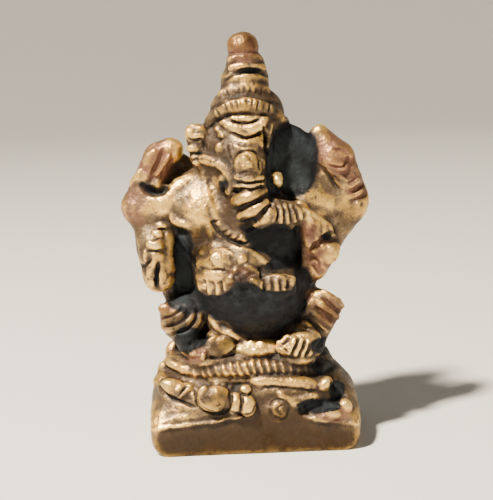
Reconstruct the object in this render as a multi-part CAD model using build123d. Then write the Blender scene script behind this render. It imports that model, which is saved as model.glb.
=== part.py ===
from build123d import *
import os

import numpy as np
from scipy import ndimage, sparse

# A small solid cast amulet: a seated four-armed elephant-headed figure on a pedestal.
# Millimetres. X runs to the right, Y to the back and Z up. The origin is the middle of the flat underside.

# Pedestal: a block with a flat front below a mound, ringed by a rope
pedestal_width = 18.0
pedestal_depth = 11.8
pedestal_height = 7.6
flat_front_reach = 5.5
rope_rise = 6.95
rope_thickness = 1.4
rope_ridge_pitch = 0.64
rope_ridge_height = 0.16
rope_ridge_slant = 1.2

# Body: the heights stack up from the top of the pedestal
lap_height = 5.0
chest_height = 10.0
head_height = 5.0
crown_height = 7.4
arm_reach = 10.0
body_depth = 10.0
head_reach = 5.0

# Crown: turned tiers below a ball
crown_width = 7.0
crown_set_back = 0.2
crown_offset = 0.3
crown_arch = 0.10
crown_ball_width = 2.5
crown_ball_offset = 0.15

# Casting: how deep the grooves are, and how wide the fillets where forms meet
groove_depth = 0.30
soft_join = 0.7
relief_join = 0.22
foot_join = 0.1

# Mesh: the clay is sampled at one pitch, then thinned where it is nearly flat
sample_pitch = 0.22
face_count = 11900

# Shares of the sampling pitch: how near a cell's side a skin point may lie, how far it settles at a
# time, and how thick a pinch is filled
cell_inset = 0.08
settle_reach = 0.15
pinch_fill = 0.05

# Thinning: the edges tried at once as one part in this many, the weights of a long edge and of its
# middle, the cost factor of a refused edge, the least cosine of a face's turn, the least share of a
# square that a face fills
edges_tried = 6
length_weight = 1e-5
middle_weight = 1e-3
refused_factor = 4
least_turn_cosine = 0.3
least_face_share = 0.1

lap_floor = pedestal_height
chest_floor = lap_floor + lap_height
head_floor = chest_floor + chest_height
crown_floor = head_floor + head_height
total_height = crown_floor + crown_height

# Pedestal sections: height, half width, half depth as shares, squareness, shift to the side as a share
PEDESTAL = (
    (0.00, 0.93, 0.97, 9.0, 0.000),
    (0.05, 0.965, 0.99, 10.0, 0.000),
    (0.14, 0.985, 1.00, 12.0, 0.000),
    (0.34, 0.995, 1.00, 10.0, 0.000),
    (0.44, 0.995, 0.97, 6.0, -0.005),
    (0.54, 0.98, 0.92, 4.0, -0.012),
    (0.64, 0.94, 0.86, 3.2, -0.022),
    (0.75, 0.885, 0.80, 2.8, -0.034),
    (0.85, 0.81, 0.74, 2.6, -0.043),
    (0.93, 0.715, 0.69, 2.4, -0.065),
    (1.00, 0.665, 0.66, 2.4, -0.070),
)

# Crown sections: height, half width as shares
CROWN = (
    (-0.20, 0.78),
    (0.00, 0.86),
    (0.07, 0.88),
    (0.095, 0.98),
    (0.14, 1.01),
    (0.20, 1.00),
    (0.255, 0.95),
    (0.28, 0.84),
    (0.295, 0.83),
    (0.315, 0.81),
    (0.345, 0.69),
    (0.37, 0.60),
    (0.44, 0.59),
    (0.50, 0.575),
    (0.535, 0.53),
    (0.55, 0.43),
    (0.585, 0.43),
    (0.60, 0.50),
    (0.65, 0.51),
    (0.668, 0.39),
    (0.688, 0.44),
    (0.745, 0.43),
    (0.765, 0.22),
)

# Lumps: x, y, z, half width, half depth, half height as shares, turn in degrees
# Limbs: points of x, y, z and radius as shares
LAP_LUMPS = (
    (-0.02, 0.08, 0.45, 0.57, 0.34, 0.66, 0),
    (-0.55, -0.08, 0.72, 0.22, 0.26, 0.36, 25),
    (0.54, -0.08, 0.78, 0.195, 0.26, 0.31, -20),
    (-0.33, -0.33, 0.20, 0.20, 0.11, 0.20, 12),
    (0.39, -0.33, 0.18, 0.20, 0.11, 0.20, -6),
)
LAP_LIMBS = (
    ((-0.64, -0.14, 0.76, 0.140), (-0.54, -0.27, 0.30, 0.105)),
    ((0.65, -0.18, 0.84, 0.130), (0.52, -0.30, 0.26, 0.095)),
)

# Belly, chest, back and arms
CHEST_LUMPS = (
    (0.03, -0.09, 0.07, 0.49, 0.45, 0.43, 0),
    (0.03, -0.06, 0.58, 0.46, 0.34, 0.42, 0),
    (0.00, 0.14, 0.45, 0.66, 0.24, 0.85, 0),
    (-0.38, -0.07, 0.70, 0.25, 0.27, 0.36, 0),
    (-0.60, -0.03, 0.82, 0.28, 0.19, 0.20, 12),
    (0.52, 0.02, 0.76, 0.26, 0.22, 0.28, 0),
    (-0.60, 0.10, 0.98, 0.22, 0.09, 0.26, 0),
    (-0.62, 0.06, 0.36, 0.20, 0.12, 0.50, 0),
    (0.59, 0.06, 0.44, 0.14, 0.14, 0.32, 0),
)
CHEST_LIMBS = (
    ((-0.50, -0.02, 0.84, 0.18), (-0.93, 0.00, 0.77, 0.130)),
    ((-0.95, 0.00, 0.81, 0.115), (-0.73, -0.02, 1.22, 0.125), (-0.63, -0.02, 1.27, 0.115)),
    ((-0.85, -0.02, 0.70, 0.130), (-0.80, -0.12, 0.45, 0.155), (-0.77, -0.16, 0.22, 0.140)),
    ((0.50, 0.00, 0.78, 0.19), (0.90, 0.00, 0.75, 0.130)),
    ((0.90, 0.00, 0.81, 0.130), (0.76, -0.02, 1.14, 0.175), (0.64, 0.00, 1.36, 0.085)),
    ((0.86, 0.00, 0.70, 0.130), (0.64, -0.12, 0.44, 0.130), (0.55, -0.16, 0.22, 0.095)),
    ((0.55, -0.21, 0.60, 0.10), (0.56, -0.21, 0.28, 0.11)),
)

# Head, ears, trunk and tusk
HEAD_LUMPS = (
    (0.02, -0.04, 0.52, 0.62, 0.31, 0.62, 0),
    (-0.12, -0.17, 0.44, 0.50, 0.24, 0.58, 0),
    (0.00, 0.06, -0.10, 0.72, 0.28, 0.70, 0),
    (0.10, -0.24, -0.25, 0.42, 0.20, 0.70, 0),
    (0.80, -0.07, 0.28, 0.44, 0.09, 0.64, 8),
    (-0.78, -0.10, 0.76, 0.18, 0.11, 0.18, 0),
    (-0.82, -0.13, 0.52, 0.12, 0.08, 0.12, 0),
    (-0.80, -0.14, 0.32, 0.13, 0.07, 0.08, 0),
    (-0.55, -0.12, 0.50, 0.28, 0.12, 0.50, 0),
)
HEAD_LIMBS = (
    (
        (0.05, -0.32, 0.36, 0.29),
        (0.06, -0.39, 0.04, 0.27),
        (0.10, -0.41, -0.32, 0.25),
        (0.32, -0.41, -0.52, 0.24),
        (0.60, -0.38, -0.55, 0.22),
        (0.84, -0.33, -0.50, 0.20),
    ),
    ((0.44, -0.22, -0.16, 0.10), (0.53, -0.28, 0.08, 0.04)),
)

# Raised relief seated on the front. Knobs: x, z, half width, height of relief, half height, turn
# Ridges: radius, height of relief, then points of x and z. Grooves: radius, then points of x and z.
PEDESTAL_KNOBS = (
    (-0.74, 0.72, 0.160, 0.085, 0.105, -22),
    (-0.39, 0.64, 0.165, 0.095, 0.135, 0),
    (-0.19, 0.55, 0.080, 0.065, 0.100, 0),
    (-0.07, 0.55, 0.070, 0.065, 0.105, 0),
    (-0.09, 0.70, 0.055, 0.075, 0.055, 0),
    (-0.34, 0.79, 0.040, 0.055, 0.035, 0),
    (-0.26, 0.72, 0.040, 0.055, 0.035, 0),
    (0.66, 0.71, 0.075, 0.075, 0.100, 15),
)
PEDESTAL_RIDGES = (
    (0.110, 0.035, ((-0.86, 0.74), (-0.72, 0.66), (-0.50, 0.62), (-0.28, 0.60), (-0.05, 0.60))),
    (0.110, 0.030, ((-0.05, 0.64), (0.20, 0.66), (0.60, 0.66))),
    (0.030, 0.055, ((-0.73, 0.60), (-0.60, 0.76))),
    (0.042, 0.060, ((0.03, 0.79), (0.30, 0.77), (0.60, 0.70))),
    (0.030, 0.055, ((0.23, 0.65), (0.33, 0.55), (0.58, 0.60))),
    (0.026, 0.045, ((0.27, 0.62), (0.46, 0.51))),
    (0.024, 0.040, ((0.23, 0.55), (0.16, 0.52), (0.16, 0.43), (0.23, 0.39), (0.30, 0.43))),
    (0.024, 0.040, ((0.23, 0.50), (0.27, 0.46), (0.23, 0.43))),
)
PEDESTAL_GROOVES = (
    (0.022, ((-0.78, 0.65), (-0.65, 0.77))),
    (0.022, ((-0.52, 0.62), (-0.44, 0.54))),
    (0.040, ((0.44, 0.46), (0.68, 0.52), (0.84, 0.58))),
    (0.020, ((-0.13, 0.60), (-0.12, 0.46))),
)
LAP_KNOBS = (
    (-0.41, 0.08, 0.055, 0.035, 0.10, 0),
    (0.26, 0.18, 0.035, 0.030, 0.07, 0),
    (0.23, 0.27, 0.035, 0.030, 0.06, 0),
    (0.00, 0.22, 0.050, 0.025, 0.10, 0),
    (0.09, 0.17, 0.050, 0.025, 0.10, 0),
)
LAP_RIDGES = (
    (0.030, 0.030, ((-0.75, 0.57), (-0.63, 0.61), (-0.51, 0.76))),
    (0.030, 0.030, ((-0.71, 0.45), (-0.57, 0.50), (-0.47, 0.72))),
    (0.026, 0.026, ((-0.60, 0.38), (-0.51, 0.45), (-0.42, 0.66))),
    (0.026, 0.026, ((-0.33, 0.72), (-0.25, 0.54), (-0.12, 0.34), (-0.13, 0.22), (-0.20, 0.08))),
    (0.028, 0.028, ((0.32, 0.08), (0.37, 0.32))),
    (0.028, 0.028, ((0.39, 0.05), (0.43, 0.28))),
    (0.028, 0.028, ((0.46, 0.04), (0.49, 0.24))),
    (0.020, 0.020, ((-0.42, 0.20), (-0.33, 0.34))),
)
LAP_GROOVES = (
    (0.030, ((0.58, 0.92), (0.73, 0.68))),
    (0.030, ((0.54, 0.74), (0.67, 0.52))),
    (0.028, ((0.46, 0.60), (0.58, 0.42))),
)
CHEST_KNOBS = (
    (-0.08, 0.33, 0.270, 0.060, 0.140, -12),
    (-0.29, 0.33, 0.125, 0.090, 0.100, 0),
    (0.22, 0.14, 0.170, 0.050, 0.080, -4),
    (-0.15, 0.20, 0.045, 0.050, 0.045, 0),
    (-0.11, 0.14, 0.045, 0.050, 0.045, 0),
    (-0.08, 0.26, 0.045, 0.050, 0.045, 0),
    (-0.05, 0.35, 0.060, 0.070, 0.055, 0),
    (-0.04, 0.27, 0.040, 0.050, 0.040, 0),
    (0.04, 0.21, 0.075, 0.080, 0.065, 0),
)
CHEST_RIDGES = (
    (0.030, 0.030, ((-0.75, 0.61), (-0.67, 0.59))),
    (0.036, 0.036, ((-0.81, 0.55), (-0.69, 0.51))),
    (0.036, 0.036, ((-0.85, 0.46), (-0.73, 0.41))),
    (0.030, 0.030, ((-0.64, 1.19), (-0.77, 1.00))),
    (0.026, 0.026, ((-0.36, 1.08), (-0.35, 0.78), (-0.31, 0.67), (-0.24, 0.57), (-0.14, 0.50), (0, 0.47))),
    (0.026, 0.026, ((-0.23, 1.04), (-0.22, 0.87), (-0.19, 0.77), (-0.12, 0.66), (-0.04, 0.55), (0.00, 0.50))),
    (0.030, 0.030, ((-0.43, 0.23), (-0.18, 0.22))),
    (0.024, 0.024, ((-0.39, 0.19), (-0.39, 0.08))),
    (0.024, 0.024, ((-0.335, 0.19), (-0.34, 0.07))),
    (0.024, 0.024, ((-0.285, 0.19), (-0.29, 0.07))),
    (0.024, 0.024, ((-0.235, 0.19), (-0.23, 0.08))),
    (0.024, 0.024, ((0.09, 0.19), (0.07, 0.09))),
    (0.024, 0.024, ((0.15, 0.20), (0.14, 0.08))),
    (0.024, 0.024, ((0.21, 0.21), (0.20, 0.08))),
    (0.024, 0.024, ((0.265, 0.20), (0.26, 0.08))),
    (0.024, 0.024, ((0.335, 0.19), (0.35, 0.10))),
    (0.030, 0.030, ((0.48, 0.70), (0.71, 0.52))),
    (0.026, 0.026, ((0.47, 0.69), (0.46, 0.26))),
)
CHEST_GROOVES = (
    (0.026, ((-0.92, 0.31), (-0.84, 0.27))),
    (0.024, ((-0.80, 0.28), (-0.78, 0.13))),
    (0.028, ((-0.78, 1.05), (-0.70, 1.19))),
    (0.024, ((-0.39, 0.265), (-0.19, 0.265))),
    (0.030, ((0.52, 0.37), (0.70, 0.47))),
    (0.020, ((0.54, 0.30), (0.60, 0.22))),
    (0.024, ((0.76, 1.17), (0.89, 1.13))),
    (0.024, ((0.70, 1.05), (0.84, 1.02), (0.90, 1.11))),
    (0.022, ((0.68, 1.00), (0.76, 0.88))),
    (0.022, ((0.87, 0.87), (0.99, 0.92))),
    (0.022, ((0.88, 0.79), (1.01, 0.84))),
)
HEAD_KNOBS = (
    (-0.38, 0.80, 0.075, 0.030, 0.080, 0),
    (-0.43, 0.50, 0.090, 0.035, 0.090, 0),
    (0.02, 0.25, 0.095, 0.045, 0.095, 0),
    (-0.36, 0.00, 0.080, 0.035, 0.160, -12),
)
HEAD_RIDGES = (
    (0.055, 0.055, ((-0.34, 0.93), (0.02, 0.81), (0.34, 0.94))),
    (0.050, 0.050, ((-0.24, 0.68), (0.06, 0.58), (0.32, 0.68))),
    (0.040, 0.040, ((-0.18, 0.06), (-0.19, 0.30), (0.00, 0.44), (0.20, 0.34), (0.28, 0.06))),
    (0.050, 0.050, ((-0.12, 0.03), (0.28, 0.02))),
    (0.055, 0.055, ((-0.66, 0.44), (-0.44, 0.34), (-0.30, 0.18), (-0.22, -0.02), (-0.26, -0.22))),
    (0.045, 0.045, ((0.43, 0.48), (0.44, 0.86))),
    (0.050, 0.050, ((-0.22, -0.14), (0.26, -0.16))),
    (0.055, 0.055, ((-0.20, -0.26), (0.26, -0.24))),
    (0.065, 0.065, ((-0.17, -0.60), (0.32, -0.37))),
    (0.060, 0.060, ((0.08, -0.76), (0.40, -0.56))),
    (0.045, 0.045, ((0.48, -0.36), (0.48, -0.70))),
    (0.045, 0.045, ((0.60, -0.38), (0.60, -0.72))),
    (0.045, 0.045, ((0.72, -0.42), (0.72, -0.72))),
    (0.045, 0.045, ((0.84, -0.44), (0.86, -0.70))),
)
HEAD_GROOVES = (
    (0.045, ((-0.18, 0.99), (0.04, 0.91), (0.22, 0.99))),
    (0.050, ((-0.22, 0.78), (0.06, 0.68), (0.32, 0.79))),
    (0.045, ((0.36, 0.04), (0.36, 0.88))),
    (0.040, ((-0.42, 0.70), (-0.44, 0.62))),
    (0.035, ((-0.20, -0.06), (0.30, -0.07))),
    (0.060, ((-0.02, -0.72), (0.36, -0.48))),
)


class Clay:
    """Clay on a regular grid. Each grid point holds its distance to the surface, below zero inside."""

    def __init__(self, low, high, pitch):
        self.pitch = pitch
        self.axes = [np.arange(a, b + pitch, pitch) for a, b in zip(low, high)]
        self.field = np.full([len(axis) for axis in self.axes], 4.0)

    def window(self, low, high):
        """Grid slices and open coordinate arrays of the box from low to high."""
        spans = []
        for axis, a, b in zip(self.axes, low, high):
            start, stop = np.searchsorted(axis, (a, b))
            spans.append(slice(max(start - 1, 0), stop + 1))
        grids = np.ix_(*[axis[span] for axis, span in zip(self.axes, spans)])
        return tuple(spans), grids

    def add(self, form, join):
        """Joins a form to the clay with a soft fillet about as wide as join."""
        distance, low, high = form
        margin = join + 2 * self.pitch
        spans, grids = self.window(low - margin, high + margin)
        old = self.field[spans]
        new = distance(*grids)
        lean = np.maximum(join - np.abs(old - new), 0) / join
        self.field[spans] = np.minimum(old, new) - lean * lean * join / 4

    def cut(self, form, join):
        """Cuts a form out of the clay, with its edges softened by join."""
        distance, low, high = form
        margin = join + 2 * self.pitch
        spans, grids = self.window(low - margin, high + margin)
        old = self.field[spans]
        new = -distance(*grids)
        lean = np.maximum(join - np.abs(old - new), 0) / join
        self.field[spans] = np.maximum(old, new) + lean * lean * join / 4


def lump(centre, radii, turn=0.0):
    """An ellipsoid, turned in the plane of the front view."""
    angle = np.radians(turn)
    c, s = np.cos(angle), np.sin(angle)
    centre, radii = np.array(centre), np.array(radii)

    def distance(x, y, z):
        dx, dy, dz = x - centre[0], y - centre[1], z - centre[2]
        u, v = (c * dx + s * dz) / radii[0], (c * dz - s * dx) / radii[2]
        w = dy / radii[1]
        reach = np.sqrt(u * u + v * v + w * w) + 1e-9
        slope = np.sqrt((u / radii[0]) ** 2 + (v / radii[2]) ** 2 + (w / radii[1]) ** 2) + 1e-9
        return reach * (reach - 1) / slope

    flat = max(radii[0], radii[2])
    size = np.array([flat, radii[1], flat])
    return distance, centre - size, centre + size


def limb(points, radii):
    """A chain of tapered round bars through the points."""
    points, radii = np.array(points, float), np.array(radii, float)

    def distance(x, y, z):
        nearest = None
        for a, b, ra, rb in zip(points[:-1], points[1:], radii[:-1], radii[1:]):
            along = b - a
            share = ((x - a[0]) * along[0] + (y - a[1]) * along[1] + (z - a[2]) * along[2]) / (along @ along)
            share = np.clip(share, 0, 1)
            dx, dy, dz = (
                x - a[0] - share * along[0],
                y - a[1] - share * along[1],
                z - a[2] - share * along[2],
            )
            gap = np.sqrt(dx * dx + dy * dy + dz * dz) - (ra + share * (rb - ra))
            nearest = gap if nearest is None else np.minimum(nearest, gap)
        return nearest

    size = radii.max()
    return distance, points.min(axis=0) - size, points.max(axis=0) + size


def pedestal():
    """The mound: rounded plan sections that swell and draw in with height, with a flat front below."""
    rows = np.array(PEDESTAL)
    heights = rows[:, 0] * pedestal_height

    def distance(x, y, z):
        half_width = np.interp(z, heights, rows[:, 1]) * pedestal_width / 2
        half_depth = np.interp(z, heights, rows[:, 2]) * pedestal_depth / 2
        square = np.interp(z, heights, rows[:, 3])
        middle = np.interp(z, heights, rows[:, 4]) * pedestal_width / 2
        u, v = np.abs(x - middle) / half_width, np.abs(y) / half_depth
        reach = (u**square + v**square + 1e-9) ** (1 / square)
        side = (reach - 1) * np.minimum(half_width, half_depth)
        return np.maximum(np.maximum(side, z - pedestal_height), -flat_front_reach - y)

    size = np.array([pedestal_width / 2, pedestal_depth / 2, pedestal_height])
    return distance, -size, size


def rope_ring():
    """A rope laid round the top of the mound, half sunk in it, with ridges at the rope's own pitch."""
    share = rope_rise / pedestal_height
    rows = np.array(PEDESTAL)
    half_width = np.interp(share, rows[:, 0], rows[:, 1]) * pedestal_width / 2
    half_depth = np.interp(share, rows[:, 0], rows[:, 2]) * pedestal_depth / 2
    shift = np.interp(share, rows[:, 0], rows[:, 4]) * pedestal_width / 2
    ridges = round(np.pi * (half_width + half_depth) / rope_ridge_pitch)

    def distance(x, y, z):
        angle = np.arctan2(y / half_depth, (x - shift) / half_width)
        near_x, near_y = half_width * np.cos(angle), half_depth * np.sin(angle)
        out = np.hypot(x - shift - near_x, y - near_y)
        rise = z - rope_rise
        wave = rope_ridge_height / 2 * np.cos(ridges * angle + rope_ridge_slant * rise)
        return np.hypot(out, rise) - rope_thickness / 2 - wave

    size = np.array([half_width, half_depth, 0]) + rope_thickness
    middle = np.array([shift, 0, rope_rise])
    return distance, middle - size, middle + size


def crown():
    """Turned tiers on an upright axis, each tier arched so that it stands highest at the front."""
    rows = np.array(CROWN)
    heights = crown_floor + rows[:, 0] * crown_height
    radii = rows[:, 1] * crown_width / 2
    taper = np.hypot(1, crown_width / crown_height / 2)

    def distance(x, y, z):
        side = x - crown_offset
        level = z + crown_arch * side * side
        radius = np.interp(level, heights, radii)
        out = np.hypot(side, y + crown_set_back) - radius
        return np.maximum(out / taper, np.maximum(level - heights[-1], heights[0] - level))

    middle = np.array([crown_offset, -crown_set_back, 0])
    low = middle + [-crown_width / 2, -crown_width / 2, heights[0] - crown_width * crown_arch]
    return distance, low, middle + [crown_width / 2, crown_width / 2, heights[-1]]


def crown_ball():
    """The ball on top of the crown."""
    radius = crown_ball_width / 2
    return lump((crown_ball_offset, -crown_set_back, total_height - radius), (radius, radius, radius))


def region_forms(region, lumps, limbs):
    """A region's lumps and limbs, whose shares are of its reach, the body's depth and its height."""
    reach, floor, height = region
    scale = np.array([reach, body_depth, height])
    base = np.array([0, 0, floor])
    forms = []
    for x, y, z, wide, deep, tall, turn in lumps:
        forms.append(lump(base + scale * (x, y, z), scale * (wide, deep, tall), turn))
    for rows in limbs:
        rows = np.array(rows)
        forms.append(limb(base + scale * rows[:, :3], reach * rows[:, 3]))
    return forms


def front_map(clay):
    """How far back the front of the clay lies, for each column of the front view."""
    inside = clay.field < 0
    first = np.argmax(inside, axis=1)
    hit = inside.any(axis=1)
    before = np.maximum(first - 1, 0)
    outer = np.take_along_axis(clay.field, before[:, None, :], axis=1)[:, 0, :]
    inner = np.take_along_axis(clay.field, first[:, None, :], axis=1)[:, 0, :]
    share = np.where(hit, outer / np.where(outer > inner, outer - inner, 1), 0)
    return np.where(hit, clay.axes[1][before] + share * clay.pitch, 0)


def seat(clay, front, points):
    """Points of x and z brought to the front of the clay."""
    spots = []
    for x, z in points:
        i = np.clip((x - clay.axes[0][0]) / clay.pitch, 0, front.shape[0] - 2)
        k = np.clip((z - clay.axes[2][0]) / clay.pitch, 0, front.shape[1] - 2)
        i0, k0 = int(i), int(k)
        u, v = i - i0, k - k0
        near = front[i0 : i0 + 2, k0 : k0 + 2]
        y = (near * np.outer((1 - u, u), (1 - v, v))).sum()
        spots.append((x, y, z))
    return np.array(spots)


def smooth_line(points, steps=4):
    """Points along a smooth curve through the given ones, so that a stroke follows the surface."""
    ends = [points[0]] + list(points) + [points[-1]]
    rows = [points[0]]
    for before, start, stop, after in zip(ends, ends[1:], ends[2:], ends[3:]):
        for share in (np.arange(steps) + 1) / steps:
            bend = (
                (2 * start)
                + (stop - before) * share
                + (2 * before - 5 * start + 4 * stop - after) * share**2
                + (3 * start - before - 3 * stop + after) * share**3
            )
            rows.append(bend / 2)
    return rows


def add_relief(clay, front, region, knobs, ridges, grooves):
    """Raises a region's knobs and ridges from the front of the clay and cuts its grooves."""
    reach, floor, height = region
    scale, base = np.array([reach, height]), np.array([0, floor])
    for x, z, wide, rise, tall, turn in knobs:
        centre = seat(clay, front, [base + scale * (x, z)])[0]
        clay.add(lump(centre, (reach * wide, body_depth * rise, height * tall), turn), relief_join)
    for radius, rise, points in ridges:
        spots = seat(clay, front, smooth_line([base + scale * point for point in points]))
        spots[:, 1] += reach * (radius - rise)
        clay.add(limb(spots, np.full(len(spots), reach * radius)), relief_join)
    for radius, points in grooves:
        spots = seat(clay, front, smooth_line([base + scale * point for point in points]))
        spots[:, 1] -= reach * radius - groove_depth
        clay.cut(limb(spots, np.full(len(spots), reach * radius)), relief_join)


def model_figure(pitch):
    """The whole casting in clay: main forms first, then the relief on their front."""
    base = (pedestal_width / 2, 0, pedestal_height)
    lap = (arm_reach, lap_floor, lap_height)
    chest = (arm_reach, chest_floor, chest_height)
    head = (head_reach, head_floor, head_height)
    body = region_forms(lap, LAP_LUMPS, LAP_LIMBS)
    body += region_forms(chest, CHEST_LUMPS, CHEST_LIMBS)
    body += region_forms(head, HEAD_LUMPS, HEAD_LIMBS)
    main = [(pedestal(), foot_join)]
    main += [(form, soft_join) for form in body]
    main += [(form, relief_join) for form in (crown(), crown_ball(), rope_ring())]
    edge = soft_join + 3 * pitch
    low = np.min([form[1] for form, join in main], axis=0) - edge
    high = np.max([form[2] for form, join in main], axis=0) + edge
    low[2] = -3.5 * pitch
    clay = Clay(low, high, pitch)
    for form, join in main:
        clay.add(form, join)
    front = front_map(clay)
    add_relief(clay, front, base, PEDESTAL_KNOBS, PEDESTAL_RIDGES, PEDESTAL_GROOVES)
    add_relief(clay, front, lap, LAP_KNOBS, LAP_RIDGES, LAP_GROOVES)
    add_relief(clay, front, chest, CHEST_KNOBS, CHEST_RIDGES, CHEST_GROOVES)
    add_relief(clay, front, head, HEAD_KNOBS, HEAD_RIDGES, HEAD_GROOVES)
    return clay


CORNERS = np.array([(i, j, k) for i in (0, 1) for j in (0, 1) for k in (0, 1)])
CELL_EDGES = [(a, b) for a in range(8) for b in range(a + 1, 8) if abs(CORNERS[a] - CORNERS[b]).sum() == 1]


def joined(corners):
    """True when a set of cube corners hangs together along cube edges."""
    if not corners:
        return True
    reached = {min(corners)}
    for _ in range(8):
        reached |= {b for a, b in CELL_EDGES if a in reached and b in corners}
        reached |= {a for a, b in CELL_EDGES if b in reached and a in corners}
    return reached == set(corners)


def split_patterns():
    """Which of the 256 corner patterns would pinch the surface: inside or outside in two pieces."""
    split = np.zeros(256, bool)
    for pattern in range(256):
        inside = [i for i in range(8) if pattern >> i & 1]
        outside = [i for i in range(8) if not pattern >> i & 1]
        split[pattern] = not (joined(inside) and joined(outside))
    return split


def corner_views(grid):
    """The eight shifted views of a grid, one for each corner of its cells."""
    nx, ny, nz = grid.shape
    return [grid[i : nx - 1 + i, j : ny - 1 + j, k : nz - 1 + k] for i, j, k in CORNERS]


def fill_pinches(field, pitch):
    """Fills the few cells where the surface would touch itself, until none is left."""
    split = split_patterns()
    while True:
        pattern = sum((view < 0).astype(int) << i for i, view in enumerate(corner_views(field)))
        cells = np.argwhere(split[pattern])
        if not len(cells):
            return
        for corner in CORNERS:
            at = tuple((cells + corner).T)
            field[at] = np.minimum(field[at], -pinch_fill * pitch)


def fill_pockets(field, pitch):
    """Fills any air that is shut in, so that the casting is solid throughout."""
    names, _ = ndimage.label(field >= 0)
    field[(names > 0) & (names != names[0, 0, -1])] = -pitch


def settle(points, field, origin, pitch):
    """Moves the skin's points onto the surface itself, the ground's points only along the ground."""
    slopes = np.gradient(field, pitch)
    for _ in range(3):
        at = ((points - origin) / pitch).T
        depth = ndimage.map_coordinates(field, at, order=1)
        slope = np.column_stack([ndimage.map_coordinates(part, at, order=1) for part in slopes])
        slope[points[:, 2] == 0, 2] = 0
        size = np.maximum((slope * slope).sum(axis=1), 0.25)
        step = slope * (depth / size)[:, None]
        reach = np.linalg.norm(step, axis=1)
        step *= np.minimum(1, settle_reach * pitch / np.maximum(reach, 1e-9))[:, None]
        step[(points[:, 2] == 0) & (depth < -pitch / 2)] = 0
        points = points - step
    return points


def skin(clay):
    """Closed triangle skin of the clay: one point in each cell that the surface crosses, flat below."""
    field = clay.field.copy()
    level = clay.axes[2]
    field = np.maximum(field, -level[None, None, :])
    fill_pinches(field, clay.pitch)
    fill_pockets(field, clay.pitch)
    inside = field < 0
    counts = sum(view.astype(int) for view in corner_views(inside))
    cells = np.argwhere((counts > 0) & (counts < 8))
    values = [field[tuple((cells + corner).T)] for corner in CORNERS]
    total = np.zeros((len(cells), 3))
    crossings = np.zeros(len(cells))
    for a, b in CELL_EDGES:
        crossed = (values[a] < 0) != (values[b] < 0)
        share = np.where(crossed, values[a] / np.where(crossed, values[a] - values[b], 1), 0)
        point = CORNERS[a] + share[:, None] * (CORNERS[b] - CORNERS[a])
        total += np.where(crossed[:, None], point, 0)
        crossings += crossed
    within = np.clip(total / crossings[:, None], cell_inset, 1 - cell_inset)
    origin = np.array([axis[0] for axis in clay.axes])
    points = origin + (cells + within) * clay.pitch
    ground = np.searchsorted(level, 0) - 1
    points[cells[:, 2] == ground, 2] = 0
    points = settle(points, clay.field, origin, clay.pitch)
    number = np.full(counts.shape, -1)
    number[tuple(cells.T)] = np.arange(len(cells))
    quads = []
    for axis in range(3):
        u, v = (axis + 1) % 3, (axis + 2) % 3
        step = np.eye(3, dtype=int)
        ahead = np.roll(inside, -1, axis=axis)
        starts = np.argwhere(inside != ahead)
        rings = [number[tuple((starts - shift).T)] for shift in (0, step[u], step[u] + step[v], step[v])]
        ring = np.stack(rings, axis=1)
        outward = inside[tuple(starts.T)]
        quads.append(np.where(outward[:, None], ring, ring[:, ::-1]))
    quads = np.concatenate(quads)
    a, b, c, d = (points[quads[:, i]] for i in range(4))
    first = (np.linalg.norm(a - c, axis=1) <= np.linalg.norm(b - d, axis=1))[:, None]
    one = np.where(first, quads[:, [0, 1, 2]], quads[:, [0, 1, 3]])
    two = np.where(first, quads[:, [0, 2, 3]], quads[:, [1, 2, 3]])
    return points, np.concatenate([one, two])


def face_normals(points, faces):
    """Normals of the faces, each as long as twice the face's area."""
    a, b, c = (points[faces[:, i]] for i in range(3))
    return np.cross(b - a, c - a)


def vertex_planes(points, faces):
    """For each point, the sums that give how far any spot lies from the planes of the faces around it."""
    normals = face_normals(points, faces)
    areas = np.linalg.norm(normals, axis=1)
    planes = normals / np.maximum(areas, 1e-12)[:, None]
    offsets = -(planes * points[faces[:, 0]]).sum(axis=1)
    squares = (planes[:, :, None] * planes[:, None, :]).reshape(-1, 9)
    rows = np.column_stack([squares, planes * offsets[:, None], offsets * offsets]) * areas[:, None]
    owners = sparse.coo_matrix((np.ones(faces.size), (faces.ravel(), np.repeat(np.arange(len(faces)), 3))))
    return owners.tocsr() @ rows


def shape_costs(points, sums, edges):
    """For each edge, the best point to shrink it to, and how much that would change the shape."""
    start, stop = edges.T
    both = sums[start] + sums[stop]
    matrix, vector, scalar = both[:, :9].reshape(-1, 3, 3), both[:, 9:12], both[:, 12]
    middle = (points[start] + points[stop]) / 2
    length = np.linalg.norm(points[start] - points[stop], axis=1)
    hold = middle_weight * (np.trace(matrix, axis1=1, axis2=2) + 1e-9)
    pull = hold[:, None] * middle - vector
    best = np.linalg.solve(matrix + hold[:, None, None] * np.eye(3), pull[:, :, None])[:, :, 0]
    far = np.linalg.norm(best - middle, axis=1) > length
    best[far] = middle[far]
    low = (points[start, 2] == 0) & (points[stop, 2] == 0)
    best[low, 2] = 0
    bent = (best[:, :, None] * matrix * best[:, None, :]).sum(axis=(1, 2))
    cost = np.abs(bent + 2 * (best * vector).sum(axis=1) + scalar) + length_weight * length**3
    cost[(points[start, 2] == 0) != (points[stop, 2] == 0)] = np.inf
    return best, cost


def apart(edges, everything, count):
    """Marks edges of which no two lie close enough to disturb each other, the first ones first."""
    rank = np.arange(len(edges))
    lowest = np.full(count, len(edges))
    np.minimum.at(lowest, edges[:, 0], rank)
    np.minimum.at(lowest, edges[:, 1], rank)
    near = lowest.copy()
    np.minimum.at(near, everything[:, 0], lowest[everything[:, 1]])
    np.minimum.at(near, everything[:, 1], lowest[everything[:, 0]])
    return (near[edges[:, 0]] == rank) & (near[edges[:, 1]] == rank)


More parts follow.
